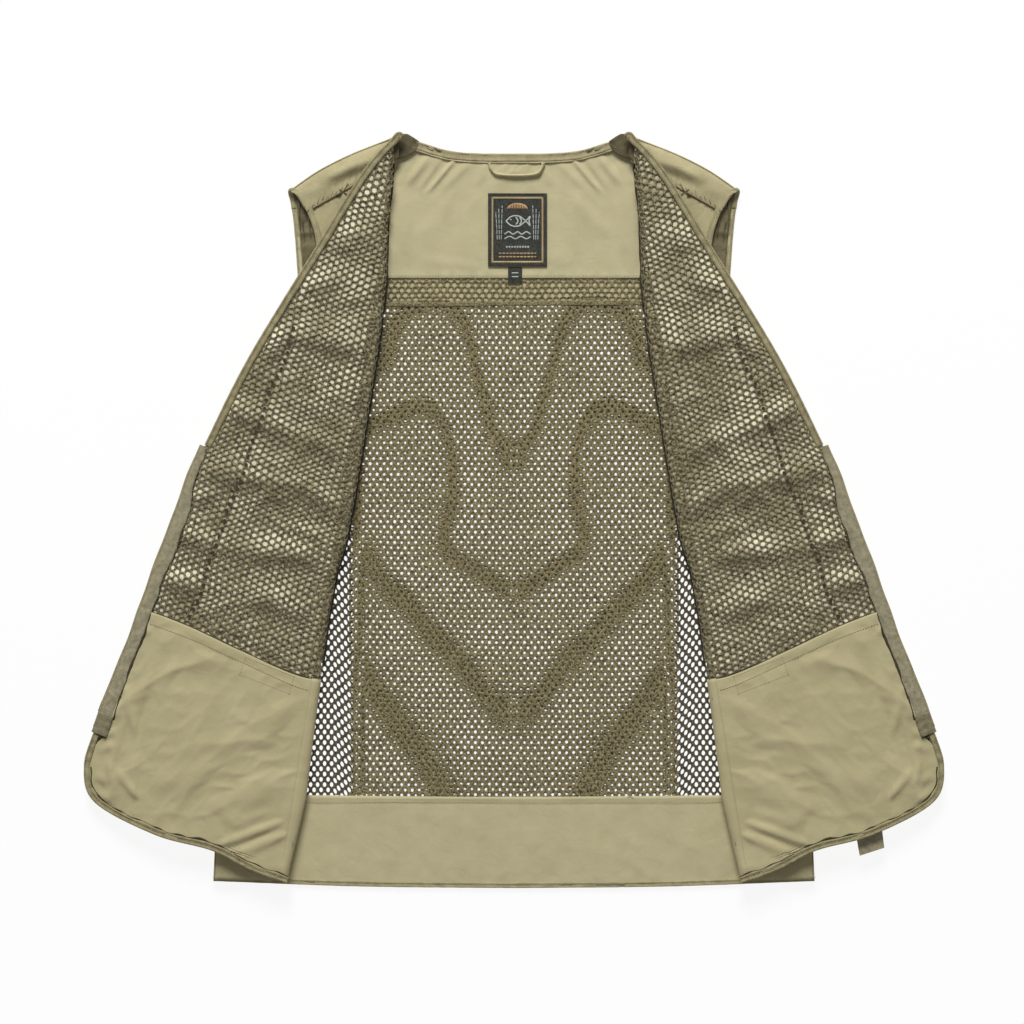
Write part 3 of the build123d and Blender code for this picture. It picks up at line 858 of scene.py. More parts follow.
embroidery("label_fish", [on_label([(x - 1.5, y + 8) for x, y in fish]),
                          on_label([(-6.6, 9), (-6, 9.6), (-5.6, 9)]),
                          on_label([(-1.5, 11.4), (0.5, 8), (-1.5, 4.8)]),
                          on_label([(2, 11.4), (3.6, 8), (2, 4.8)]),
                          on_label([(-12, -4), (-8, -1.8), (-4, -4), (0, -1.8), (4, -4), (8, -1.8), (12, -4)]),
                          on_label([(-12, -8.2), (-7, -6), (-2, -8.2), (3, -6), (8, -8.2), (12, -6.2)]),
                          ], SILVER, 0.55)
embroidery("label_bar_pale", [on_label([(-10.5, -15.6), (0, -15.6), (10.5, -15.6)])], SILVER, 0.9, dash=2)
sun = [(9 * math.cos(a), 19 + 5 * math.sin(a)) for a in np.linspace(0, math.pi, 14)]
embroidery("label_sun", [on_label(sun)] + [on_label([(x, 19.2), (x * 0.98, 19.2 + 4.4 * math.sqrt(max(1 - (x / 9) ** 2, 0.02)))],
                                                    ) for x in np.linspace(-7.5, 7.5, 11)], AMBER, 0.45)
edge = np.array(rect(26.2, 32.6) + [(-26.2, -32.6)], float)
stitch_piece("label_stitching", [lifted(np.column_stack([LX + e[:, 0], LY + e[:, 1]]),
                                        label_z(LX + e[:, 0], LY + e[:, 1]) + 0.1)
                                 for e in (resample(edge[k:k + 2], 2.2) for k in range(4))],
             "vest_back", material=LABEL, slot="label", pitch=2.2, size=1.4)


def tab_z(x, y):
    return 3.0 + 0.9 * np.clip((222.5 - y) / 14, 0, 1) * (1 - np.clip((222.5 - y) / 14, 0, 1)) * 4 * 0.4


v, f = slab(np.stack([(1 + np.linspace(-6.4, 6.4, 13)[:, None] + 0 * np.linspace(0, 1, 17)[None]),
                      222.2 - 14.6 * (1 - np.linspace(0, 1, 17)[None]) + 0 * np.linspace(0, 1, 13)[:, None],
                      tab_z(0, 222.2 - 14.6 * (1 - np.linspace(0, 1, 17)[None])) + 0 * np.linspace(0, 1, 13)[:, None]],
                     -1), 0.5)
o = add("size_tab_cloth", v, f, LABEL, sharp=40)
dress(o, "size_tab", ("size_tab",))
v, f = merge([tube(np.column_stack([np.linspace(-3, 3, 7) + 1, y + np.zeros(7), tab_z(0, y) + 0.08 + np.zeros(7)]),
                   [(0.5, 0), (0.3, 0.12), (-0.3, 0.12), (-0.5, 0), (0, -0.15)]) for y in (217.0, 213.6)])
dress(add("size_tab_mark", v, f, SILVER), "size_tab")

loop = smooth([(-22.4, 318), (-21.6, 313.5), (-17.6, 307.8), (-11, 306.2), (2, 305.6), (15, 306.2), (21.8, 308),
               (25.8, 313.5), (26.6, 318)], 0.8)
ring = [(1.5 * math.cos(a), 1.6 * math.sin(a)) for a in np.linspace(0, 2 * math.pi, 12, endpoint=False)]
k = waves(np.arange(len(loop)) * 0.8, 0, 7, 51) * 0.12
prof = np.array(ring)[None] * (1 + k[:, None, None])
v, f = tube(lifted(loop, 4.3 + 0.5 * np.sin(np.linspace(0, np.pi, len(loop)))), prof)
dress(add("hang_loop_piping", v, f, KHAKI), "hang_loop", ("hang_loop",))
stitch_piece("hang_loop_stitching", [lifted(loop - normals(loop) * 0.3, 6.05 + 0.5 * np.sin(np.linspace(0, np.pi, len(loop))))],
             "hang_loop", pitch=2.4, size=1.6, radius=0.18)


# ---------------------------------------------------------------- fronts
GRAIN = -2 * math.atan2(ALONG[0], -ALONG[1])


def front_outer_s(t):
    """Distance from the roll line to the front's outer edge, down the roll line."""
    pts = np.vstack([front_edge, zip_line, corner])
    s, tt = roll_coords(pts[:, 0], pts[:, 1])
    order = np.argsort(tt)
    return np.interp(t, tt[order], s[order])


def front_rise(x, y):
    """Height of the wrinkles in a turned front above its smooth shape, 0 to about 4.4 mm."""
    s, t = roll_coords(x, y)
    h = 1.1 * crumple(x, y, 36, 61, angle=-0.5, spread=0.5, count=5)
    h += 0.9 * crumple(x, y, 16, 62, angle=-0.35, spread=0.7, count=4, sharp=1.5)
    h += creases(x, y, [
        (240, 122, 206, 166, 10, 3.2), (216, 166, 126, 144, 11, 3.6), (150, 214, 196, 196, 9, 2.4),
        (124, 256, 166, 240, 9, 2.2), (270, 102, 196, 66, 10, 3.6), (200, 72, 150, 50, 10, 3.0),
        (296, 40, 186, 22, 11, 3.8), (200, 30, 140, -12, 10, 3.6), (336, -16, 246, -36, 10, 3.4),
        (254, -34, 170, -40, 10, 3.4), (342, -60, 280, -66, 8, 3.0), (240, -74, 186, -94, 10, 2.8),
        (300, 8, 262, 20, 5, 1.6), (232, 4, 214, 30, 5, 1.4), (206, -8, 168, -30, 6, 1.4)])
    h += -1.6 * np.exp(-((s - stitch_s(t)) / 3.0) ** 2) * (t > 150) * (t < 470)
    above = y - mouth_y(x)
    h -= 2.2 * np.exp(-(above / 7.0) ** 2)
    edge = front_outer_s(t) - s
    h *= np.clip(edge / 18, 0.12, 1) * np.clip((s + 4) / 22, 0.15, 1)
    return np.clip(0.4 + h, 0, 4.4)


mouth = smooth(MOUTH, 3)


def mouth_y(x):
    order = np.argsort(mouth[:, 0])
    return np.interp(x, mouth[order, 0], mouth[order, 1])


STITCH_T = np.array([150, 190, 228, 254, 297, 343, 380, 425, 455, 520])
STITCH_S = np.array([60, 70, 76, 84, 90, 98, 107, 113, 120, 130])


def stitch_s(t):
    return np.interp(t, STITCH_T, STITCH_S)


def lens_z(x, y, w):
    return front_z(x, y, w) + front_rise(x, y)


tape_wide = np.interp(np.linspace(0, 274, len(zip_line)), [0, 12, 60, 90], [2.5, 4, 8.5, 10.5])
front_poly = np.vstack([front_edge - normals(front_edge) * 5.5, zip_line - normals(zip_line) * tape_wide[:, None],
                        corner - normals(corner) * 5.0, [(90, -345), (60, 345)]])
def stretch(x, y):
    """How open the cells of the front's net lie. They open on wrinkle slopes that face +y and close on slopes that face
    -y, so that more or less of the pale shell shows through: painted light and shade. Besides, the openness drifts at
    random, grows towards the top, rises along three bands and drops near the roll.
    """
    lit = (front_rise(x, y - 3) - front_rise(x, y + 3)) / 6
    k = 0.94 + 0.95 * lit + 0.06 * waves(x, y, 60, 75) + 0.06 * waves(x, y, 11, 76)
    k += 0.2 * np.clip((y - 60) / 150, 0, 1)
    k += creases(x, y, [(262, 66, 170, 46, 15, 0.14), (290, 4, 236, -4, 10, 0.14), (214, -56, 176, -66, 14, 0.16)])
    s, t = roll_coords(x, y)
    k -= 0.25 * np.exp(-np.maximum(s - join_s(t), 0) / 8)
    return np.clip(k, 0.5, 1.2)


def make_front_mesh(side, sign):
    def keep(x, y):
        s, t = roll_coords(x, y)
        return inside(x, y, front_poly) & (s > join_s(t) - 3.2) & (t > 4)

    def warp(x, y):
        return (x + 1.4 * waves(x, y, 60, 71), y + 1.4 * waves(x, y, 55, 72))

    v, f = lattice((96, 395, -345, 345), keep, lambda x, y, h: (x, y, lens_z(x, y, 1.5) + h * 1.15),
                   hole=(1.8, 1.9), angle=GRAIN, warp=warp, ridge=0.6, openness=stretch)
    o = add(f"{side}_front_net", v, f, FRONT_MESH, sign)
    dress(o, f"{side}_front", (f"{side}_front_mesh",))


def make_front_shell(side, sign):
    nu, nv = 80, 250
    t = np.linspace(1, RUN - 1.5, nv + 1)[None, :]
    u = np.linspace(0, 1, nu + 1)[:, None]
    s = join_s(t) + (front_outer_s(t) - 2.2 - join_s(t)) * u
    x, y = from_roll(s, t)
    z = front_z(x, y, 0.8) + front_rise(x, y) * 0.9
    z[0] -= 0.3
    v, f = slab(np.stack([x, y, z], -1), 0.6)
    # The face that shows through the net is near-white, far paler than the khaki outside: painted light
    o = add(f"{side}_front_shell_cloth", v, f, KHAKI, sign, inner=(nu * nv, SHELL_INSIDE_PAINTED_LIGHT))
    dress(o, f"{side}_front", (f"{side}_front_shell",))


def pocket_rise(x, y):
    top = mouth_y(x) - y
    s, t = roll_coords(x, y)
    h = 3.4 * crumple(x, y, 60, 81, angle=-0.45, spread=0.6, count=4)
    h += 1.5 * crumple(x, y, 25, 82, angle=-0.55, spread=0.6, count=4, sharp=1.6)
    h += 1.2 * waves(x, y, 70, 85)
    h += creases(x, y, [
        (300, -120, 330, -190, 7, 1.6), (330, -130, 352, -230, 6, 1.6), (348, -170, 372, -250, 5, 2.2),
        (216, -250, 300, -268, 9, 1.2), (250, -230, 340, -250, 9, 1.0), (300, -236, 345, -282, 7, 1.4),
        (200, -170, 230, -215, 9, 1.0), (330, -200, 340, -262, 5, -1.6), (190, -226, 214, -232, 4, -1.6),
        (206, -280, 276, -306, 3.2, 3.4), (204, -292, 262, -316, 3.0, 3.0), (212, -288, 270, -312, 2.4, -1.4), (214, -272, 262, -284, 5, 1.2),
        (236, -290, 280, -262, 7, 1.0), (205, -230, 225, -320, 7, 1.0), (354, -160, 342, -206, 4, 2.0),
        (362, -234, 338, -264, 3.2, 2.8), (374, -200, 366, -218, 4, 2.2), (368, -226, 364, -250, 3, 1.6)])
    pucker = 0.6 * np.exp(-((top - 13) / 5.0) ** 2) * waves(x, y, 8, 83, stretch=(1, 0.4))
    fold = -0.9 * np.exp(-((top - 11.8) / 1.4) ** 2) + 0.6 * np.exp(-((top - 5) / 5) ** 2)
    edge = np.clip((front_outer_s(t) - s) / 18, 0.12, 1)
    rim = 0.7 * np.exp(-((front_outer_s(t) - s - 15) / 5) ** 2) * waves(t, 0 * t, 12, 84)
    keep = np.clip((top - 9) / 12, 0.25, 1)
    h = np.clip(0.1 + 1.05 * h * edge * keep + rim + pucker + fold, 0, 9)
    cap = 3.7 + DROOP * np.clip(s - BEND, 0, 12)
    return cap * np.tanh((h / cap) ** 2.5) ** 0.4


def make_pocket(side, sign):
    """Large inner pocket, from its mouth down to the hem binding."""
    nu, nv = 130, 110
    u = np.linspace(0, 1, nu + 1)[:, None]
    v = np.linspace(0, 1, nv + 1)[None, :]
    tt = 487 + (RUN - 3 - 487) * v
    s_in = join_s(tt)
    s_out = front_outer_s(tt) - np.where(tt < 566, 12.2, 5.0)
    s = s_in + (s_out - s_in) * u
    # the mouth slants, so the grid's upper rows slide up to meet it
    top_t = np.array([min(mouth, key=lambda p: abs(roll_coords(p[0], p[1])[0] - q)).tolist()
                      for q in (s[:, 0] if s.ndim else s)])
    _, t_mouth = roll_coords(top_t[:, 0], top_t[:, 1])
    t_mouth = np.convolve(np.pad(t_mouth, 3, mode="edge"), np.ones(7) / 7, mode="valid")[:, None]
    tt2 = t_mouth + (RUN - 3 - t_mouth) * v
    s_in = join_s(tt2)
    s_out = front_outer_s(tt2) - np.clip(np.where(tt2 < 577, 12.2, 12.2 - (tt2 - 577) * 0.6), 5.0, 12.2)
    s = s_in + (s_out - s_in) * u
    x, y = from_roll(s, tt2)
    z = pocket_z(x, y, 0)
    z[0] -= 0.35
    vv, ff = slab(np.stack([x, y, z], -1), 0.6)
    o = add(f"{side}_inner_pocket_cloth", vv, ff, POCKET, sign)
    dress(o, f"{side}_front", (f"{side}_inner_pocket",))


def pocket_z(x, y, lift=0.1):
    return front_z(x, y, 3.2) + np.maximum(pocket_rise(x, y), front_rise(x, y) * 0.9 + 0.2) + lift


def fold_section(sign, name, low, top, extra, material, t_range, angles, net=False, thick=0.5):
    """Cloth rolled over the hinge line, from height low up to top(x, y), bulging as the roll does."""
    t0, t1 = t_range

    def place(a, t, h=0.0):
        """a from -1 (lower) to 1 (upper)."""
        turn = a * np.pi / 2
        join = join_s(t)
        jx, jy = from_roll(join, t)
        high = top(jx, jy)
        radius, centre = (high - low) / 2, (high + low) / 2
        bulge = join - fold_s(t) + extra
        s = join + 0.8 * np.clip(a, 0, 1) ** 8 - bulge * np.cos(turn) ** 0.8 - h * np.cos(turn)
        z = centre + radius * np.sin(turn) + h * np.sin(turn)
        x, y = from_roll(s, t)
        return x, y, z

    radius = (top(*from_roll(join_s(300.0), 300.0)) - low) / 2
    if net:
        length = radius * np.pi + 8
        v, f = lattice((-length / 2, length / 2, t0, t1), lambda p, q: (np.abs(p) < length / 2),
                       lambda p, q, h: place(np.clip(-p / (length / 2), -1, 1), q, h),
                       hole=(1.8, 2.1), angle=0.16, ridge=0.42)
        wide, tall = length, t1 - t0
    else:
        nu, nv = 16, int((t1 - t0) / 3)
        a = np.linspace(angles[0], angles[1], nu + 1)[:, None]
        t = np.linspace(t0, t1, nv + 1)[None, :]
        x, y, z = place(a + 0 * t, t + 0 * a)
        x2, y2, z2 = place(a + 0 * t, t + 0 * a, -thick)
        outer = np.stack([x, y, z], -1).reshape(-1, 3)
        inner = np.stack([x2, y2, z2], -1).reshape(-1, 3)
        n = len(outer)
        faces = grid_faces(nu, nv)
        index = np.arange(n).reshape(nu + 1, nv + 1)
        loop_i = np.concatenate([index[:, 0], index[-1, 1:], index[-2::-1, -1], index[0, -2:0:-1]])
        after = np.roll(loop_i, -1)
        rim = np.stack([loop_i + n, after + n, after, loop_i], -1)
        v = np.vstack([outer, inner])
        f = np.vstack([faces, faces[:, ::-1] + n, rim])
        f = f[:, ::-1]
        wide, tall = radius * np.pi, t1 - t0
    o = add(name, v, f, material, sign)
    rolled_blend(o)
    wide = max(wide, 10.5)
    return o


def make_edges(side, sign):
    body = f"{side}_front"
    start = [(99.5, 341.6), (102.6, 343.9), (106.8, 343.4), (111, 338.6)]
    edge = smooth(start + FRONT_EDGE[1:], 1.2)
    s, t = roll_coords(edge[:, 0], edge[:, 1])
    z = front_z(edge[:, 0], edge[:, 1], 0.0) + 0.6
    z = z + 1.2 * waves(t, 0 * t, 60, 91) * 0.5
    binding(f"{side}_edge_binding_tape", np.column_stack([edge, z]), None, -7, 0, -0.4, 3.2, body,
            (f"{side}_edge_binding",), sign, seed=92, rim=0.8, material=EDGE)
    foot = smooth([(378.6, -187)] + CORNER, 1.5)
    zc = front_z(foot[:, 0], foot[:, 1], 0.0) + 0.5
    binding(f"{side}_hem_edge_binding_tape", np.column_stack([foot, zc]), None, -6.4, 0, -0.4, 5.2, body,
            (f"{side}_hem_edge_binding",), sign, seed=95, pucker=0.4, rim=0.8, material=EDGE)
    rows = []
    for path, offset, top, zz in ((edge, 1.6, 3.9, z), (edge, 5.4, 3.9, z),
                                  (foot, 1.5, 5.9, zc), (foot, 5.0, 5.9, zc)):
        rows.append(lifted(path - normals(path) * offset, zz + top))
    stitch_piece(f"{side}_edge_stitching", rows, body, sign)


def tape_edges(d):
    """Outer offset and width of the zip tape, down its length."""
    outw = 0.8 * np.sin(d / 41) + 0.6 * waves(d, 0 * d, 60, 101)
    width = np.interp(d, [0, 12, 60, 90, 150, 200, 250, 274], [4, 6, 11, 13, 11.5, 12, 13.5, 12.5])
    return outw, width + 0.8 * waves(d, 0 * d, 34, 103) + 0.35 * waves(d, 0 * d, 11, 104)


def make_zip(side, sign):
    """Grosgrain tape with a wandering inner edge, and the spiral coil on its outside."""
    body = f"{side}_front"
    run = float(np.hypot(*(np.array(ZIP[1]) - ZIP[0])))
    n = int(run / 0.6)
    d = np.linspace(0, run, n + 1)
    path = np.array(ZIP[0]) + (np.array(ZIP[1]) - ZIP[0]) * (d / run)[:, None]
    nrm = normals(path)
    outw, width = tape_edges(d)
    k = np.linspace(0, 1, 11)[None, :]
    off = outw[:, None] - width[:, None] * k
    x = path[:, :1] + nrm[:, :1] * off
    y = path[:, 1:] + nrm[:, 1:] * off
    rib = 0.13 * np.sin(d * 2 * np.pi / 1.8)[:, None] * (np.sin(np.pi * k) > 0.25)
    crown = 1.1 * np.sin(np.pi * np.clip(k, 0.02, 0.98)) ** 0.6
    crown = crown + 0.6 * waves(d[:, None] + 4 * k, 3 * k, 17, 105) * np.sin(np.pi * k) * k
    z = front_z(x, y, 2.9) + rib + crown + 0.5
    v, f = slab(np.stack([x, y, z], -1), 0.9)
    o = add(f"{side}_zip_tape_ribbed", v, f, TAPE, sign)
    dress(o, body, (f"{side}_zip_tape",))
    welt = np.column_stack([path + nrm * (outw + 0.7)[:, None], front_z(path[:, 0], path[:, 1], 1.2) + 0.4])[::3]
    v, f = tube(welt, flat_profile(-1.4, 1.0, 0, 2.2, 0.25))
    dress(add(f"{side}_zip_edge_welt", v, f, EDGE, sign), body)
    e = np.linspace(-5, 14.5, 26)[:, None]
    off = 0.7 - (14.6 + 0.4 * waves(e, 0 * e, 9, 107)) * k
    rise = (np.array(ZIP[0]) - ZIP[1]) / run
    x = ZIP[1][0] + rise[0] * e + nrm[0, 0] * off
    y = ZIP[1][1] + rise[1] * e + nrm[0, 1] * off
    top = 6.3 + 0.7 * np.sin(np.pi * np.clip(k, 0.02, 0.98)) ** 0.6 + 0.35 * waves(x, y, 8, 106)
    v, f = slab(np.stack([x, y, front_z(x, y, 0) + top], -1), 1.6)
    dress(add(f"{side}_zip_end_patch", v, f, PATCH, sign), body)
    # Dark strip along the foot of the end patch: painted shadow under its edge
    foot = np.stack([x[0, 4:], y[0, 4:]], -1) - rise * 0.6
    v, f = tube(lifted(foot, front_z(foot[:, 0], foot[:, 1], 5.6)), [(0.7, -0.8), (0.5, 0.4), (-0.5, 0.4), (-0.7, -0.8)])
    dress(add(f"{side}_zip_end_painted_shadow", v, f, PAINTED_SHADOW, sign), body)
    # spiral coil under the tape, one turn every 1.25 mm
    turns = np.arange(14, run - 3, 1.25)
    u = np.linspace(0, 2 * np.pi * len(turns), len(turns) * 9)
    away = run - (14 + u / (2 * np.pi) * 1.25)
    base = np.array(ZIP[0]) + (np.array(ZIP[1]) - ZIP[0]) * (away / run)[:, None]
    off = -1.7 + 1.55 * np.cos(u)
    cx = base + nrm[0] * off[:, None]
    cz = front_z(cx[:, 0], cx[:, 1], 0.15) + 0.55 * np.sin(u)
    p = np.column_stack([cx, cz])
    tang = np.gradient(p, axis=0)
    tang /= np.linalg.norm(tang, axis=1)[:, None]
    a1 = np.cross(tang, (0.3, 0.2, 1.0))
    a1 /= np.linalg.norm(a1, axis=1)[:, None]
    a2 = np.cross(tang, a1)
    ring5 = [(0.28 * math.cos(a), 0.28 * math.sin(a)) for a in np.linspace(0, 2 * math.pi, 5, endpoint=False)]
    v, f = tube(p, ring5, across=a1, lift=a2)
    dress(add(f"{side}_zip_coil_spiral", v, f, COIL, sign), body, (f"{side}_zip_coil",))


def box_mesh(centre, axes, size, bevel=0.0):
    """Block with chamfered edges; axes are three unit vectors."""
    h = np.array(size) / 2
    b = min(bevel, h.min() * 0.9)
    pts, faces = [], []
    rings = [(-h[2], b), (-h[2] + b, 0), (h[2] - b, 0), (h[2], b)]
    for zz, inset in rings:
        for sx, sy in ((1, 1), (-1, 1), (-1, -1), (1, -1)):
            ex, ey = h[0] - inset, h[1] - inset
            if sx * sy > 0:
                corners = [(sx * ex, sy * (ey - b)), (sx * (ex - b), sy * ey)]
            else:
                corners = [(sx * (ex - b), sy * ey), (sx * ex, sy * (ey - b))]
            pts += [(c[0], c[1], zz) for c in corners]
    k = 8
    for r in range(3):
        for i in range(k):
            j = (i + 1) % k
            faces.append([r * k + i, r * k + j, (r + 1) * k + j, (r + 1) * k + i])
    faces += [list(range(k))[::-1], list(range(3 * k, 4 * k))]
    p = np.array(pts)
    a = np.array(axes, float)
    return np.array(centre, float) + p @ a, faces


def zip_axes():
    run = np.array(ZIP[0], float) - ZIP[1]
    run /= np.hypot(*run)
    cross = np.array((run[1], -run[0]))
    ds_u, ds_v = run @ OUT, cross @ OUT
    u = np.array((run[0], run[1], -DROOP * ds_u))
    u /= np.linalg.norm(u)
    v = np.array((cross[0], cross[1], -DROOP * ds_v))
    v /= np.linalg.norm(v)
    return u, v, np.cross(v, u) * -1


def zip_at(u, v, w):
    run = np.array(ZIP[0], float) - ZIP[1]
    run /= np.hypot(*run)
    x, y = np.array(ZIP[1]) + run * u + np.array((run[1], -run[0])) * v
    s, _ = roll_coords(x, y)
    return np.array((x, y, SHELL_Z + w - DROOP * (s - BEND)))


def make_zip_hardware():
    u, v, w = zip_axes()
    axes = (u, v, w)
    vf = merge([box_mesh(zip_at(5.5, -1.5, -0.35), axes, (9, 5, 2.5), 0.5),
                box_mesh(zip_at(9.4, -1.5, -0.35), axes, (1.2, 5.4, 2.9), 0.4)])
    dress(add("left_retainer_box_moulded", *vf, ENAMEL, -1, sharp=30), "left_front",
          ("left_retainer_box",))
    vf = merge([box_mesh(zip_at(6.2, -1.5, 0.15), axes, (11.4, 2.9, 1.4), 0.5),
                box_mesh(zip_at(1.6, -1.5, 0.15), axes, (1.4, 3.4, 1.5), 0.5)])
    dress(add("right_insertion_pin_moulded", *vf, ENAMEL, 1, sharp=30), "right_front",
          ("right_insertion_pin",))
    park = 19.5
    parts = [box_mesh(zip_at(park, -2.05, -1.5), axes, (11, 8.9, 1.2), 0.55),
             box_mesh(zip_at(park, -2.05, 2.9 + 0.1), axes, (10.6, 8.7, 1.0), 0.45),
             box_mesh(zip_at(park, 1.2, 0.75), axes, (7, 1.2, 3.5), 0.3)]
    for side in (-4.2, 0.6):
        parts.append(box_mesh(zip_at(park, side, -3.2), axes, (3.8, 1.1, 2.6), 0.5))
    centre = zip_at(park, -1.8, -3.7)
    ring8 = [(0.4 * math.cos(a), 0.4 * math.sin(a)) for a in np.linspace(0, 2 * math.pi, 8, endpoint=False)]
    line = np.array([centre + v * q for q in (-2.3, 0, 2.3)])
    parts.append(tube(line, ring8, across=np.tile(u, (3, 1)), lift=np.tile(w, (3, 1))))
    dress(add("left_main_slider_cast", *merge(parts), ENAMEL, -1, sharp=30), "left_main_slider",
          ("left_main_slider",))
    # pull: an eye round the bar, a neck and a ribbed grip
    n = 40
    turn = np.linspace(0, 2 * np.pi, 20, endpoint=False)
    outer_r = [(1.2 * math.cos(a), 1.2 * math.sin(a)) for a in turn]
    inner_r = [(0.62 * math.cos(a), 0.62 * math.sin(a)) for a in turn]
    pts, faces = [], []
    for off in (-1.3, 1.3):
        for ringpts in (outer_r, inner_r):
            for a, b in ringpts:
                pts.append(centre + v * off + u * a + w * b)
    m = len(turn)
    for i in range(m):
        j = (i + 1) % m
        faces += [[i, j, m + j, m + i], [2 * m + i, 3 * m + i, 3 * m + j, 2 * m + j],
                  [i, 2 * m + i, 2 * m + j, j], [m + i, m + j, 3 * m + j, 3 * m + i]]
    parts = [(np.array(pts), faces),
             box_mesh(centre - u * 6.4, axes, (10.8, 2.2, 1.0), 0.3),
             box_mesh(centre - u * 19.5, axes, (20, 2.8, 1.35), 0.5)]
    for q in np.arange(12, 28, 2.2):
        parts.append(box_mesh(centre - u * q, axes, (0.9, 2.8, 1.65), 0.3))
    dress(add("left_main_pull_cast", *merge(parts), ENAMEL, -1, sharp=30), "left_main_pull",
          ("left_main_pull",))


def roll_place(s, t, z):
    x, y = from_roll(s, t)
    return np.stack(np.broadcast_arrays(x, y, z), -1)


def pillow(s0, s1, t0, t1, z_top, depth, seed, nu=36, nv=60, soft=0.8):
    """Outer pocket: flat against the shell, softly rounded and creased on its outer face,
    which points down while the front is turned open."""
    u = np.linspace(0, 1, nu + 1)[:, None]
    v = np.linspace(0, 1, nv + 1)[None, :]
    s = s0 + (s1 - s0) * u + 0 * v
    t = t0 + (t1 - t0) * v + 0 * u
    edge = np.minimum(np.minimum(u, 1 - u) * (s1 - s0), np.minimum(v, 1 - v) * (t1 - t0))
    swell = np.clip(edge / 7, 0, 1) ** 0.5
    seam = -0.35 * np.exp(-((edge - 4.2) / 0.9) ** 2)
    low = z_top - 0.9 - (depth - 0.9) * np.clip(swell * (1 + 0.12 * waves(s, t, 30, seed)), 0, 1) - seam * soft
    top = roll_place(s, t, z_top + 0 * s)
    bottom = roll_place(s, t, low)
    n = (nu + 1) * (nv + 1)
    faces = grid_faces(nu, nv)
    index = np.arange(n).reshape(nu + 1, nv + 1)
    loop_i = np.concatenate([index[:, 0], index[-1, 1:], index[-2::-1, -1], index[0, -2:0:-1]])
    after = np.roll(loop_i, -1)
    rim = np.stack([loop_i + n, after + n, after, loop_i], -1)
    f = np.vstack([faces, faces[:, ::-1] + n, rim])[:, ::-1]
    return np.vstack([top.reshape(-1, 3), bottom.reshape(-1, 3)]), f


def make_outer_pockets(side, sign):
    body = f"{side}_front"
    v, f = pillow(14, 66, 190, 330, 13.9, 2.3, 111, nu=30, nv=60)
    o = add(f"{side}_chest_pocket_cloth", v, f, KHAKI, sign, sharp=50)
    dress(o, body, (f"{side}_chest_pocket",))
    v, f = pillow(14, 104, 402, 602, 13.9, 3.0, 113, nu=44, nv=80)
    o = add(f"{side}_lower_pocket_cloth", v, f, KHAKI, sign, sharp=50)
    dress(o, body, (f"{side}_lower_pocket",))
    # lid with a pointed middle
    nu, nv = 40, 24
    u = np.linspace(0, 1, nu + 1)[:, None]
    w = np.linspace(0, 1, nv + 1)[None, :]
    point = 446 + 6 * (1 - np.abs(2 * u - 1))
    t = 388 + (point - 388) * w
    s = 12 + 94 * u + 0 * w
    z = 10.6 + 0.25 * waves(s, t, 40, 115) * np.sin(np.pi * u) * w
    v, f = slab(roll_place(s, t, z), 0.7)
    o = add(f"{side}_lower_pocket_lid_cloth", v, f, KHAKI, sign, sharp=50)
    dress(o, body, (f"{side}_lower_pocket_lid",))
    # chest zip and slider on the pocket's outer face
    n = 220
    tt = np.linspace(196, 324, n)
    teeth = 0.18 * np.sign(np.sin(tt * 2 * np.pi / 1.6))
    prof = np.array([(6, 0.0), (6, -0.45), (1.9, -0.5), (1.6, -1.05), (-1.6, -1.05), (-1.9, -0.5), (-6, -0.45), (-6, 0.0)])
    prof = np.broadcast_to(prof, (n, 8, 2)).copy()
    prof[:, 3:5, 1] -= teeth[:, None]
    x, y = from_roll(40.0, tt)
    vv, ff = tube(np.column_stack([x, y, 11.45 + 0 * x]), prof[:, ::-1])
    o = add(f"{side}_chest_zip_tape", vv, ff, TAPE, sign, sharp=40)
    dress(o, body, (f"{side}_chest_zip",))
    axes = ((-ALONG[0], -ALONG[1], 0), (OUT[0], OUT[1], 0), (0, 0, 1))
    cx, cy = from_roll(40.0, 310.5)
    parts = [box_mesh((cx, cy, 9.95), axes, (10.5, 6.6, 0.9), 0.5),
             box_mesh((cx + ALONG[0] * 9, cy + ALONG[1] * 9, 9.7), axes, (13, 3.4, 0.7), 0.4)]
    o = add(f"{side}_chest_slider_cast", *merge(parts), ENAMEL, sign, sharp=30)
    dress(o, f"{side}_chest_slider", (f"{side}_chest_slider",))
    rows = []
    for s0, s1, t0, t1, zz in ((16, 64, 192, 328, 11.7), (18, 100, 410, 598, 11.0)):
        for a, b in (((s0, t0), (s1, t0)), ((s1, t0), (s1, t1)), ((s1, t1), (s0, t1)), ((s0, t1), (s0, t0))):
            p = np.array([from_roll(a[0] + (b[0] - a[0]) * q, a[1] + (b[1] - a[1]) * q)
                          for q in np.linspace(0, 1, 24)])
            rows.append(lifted(p, zz - 0.3))
    stitch_piece(f"{side}_pocket_stitching", rows, body, sign, slot="cloth")


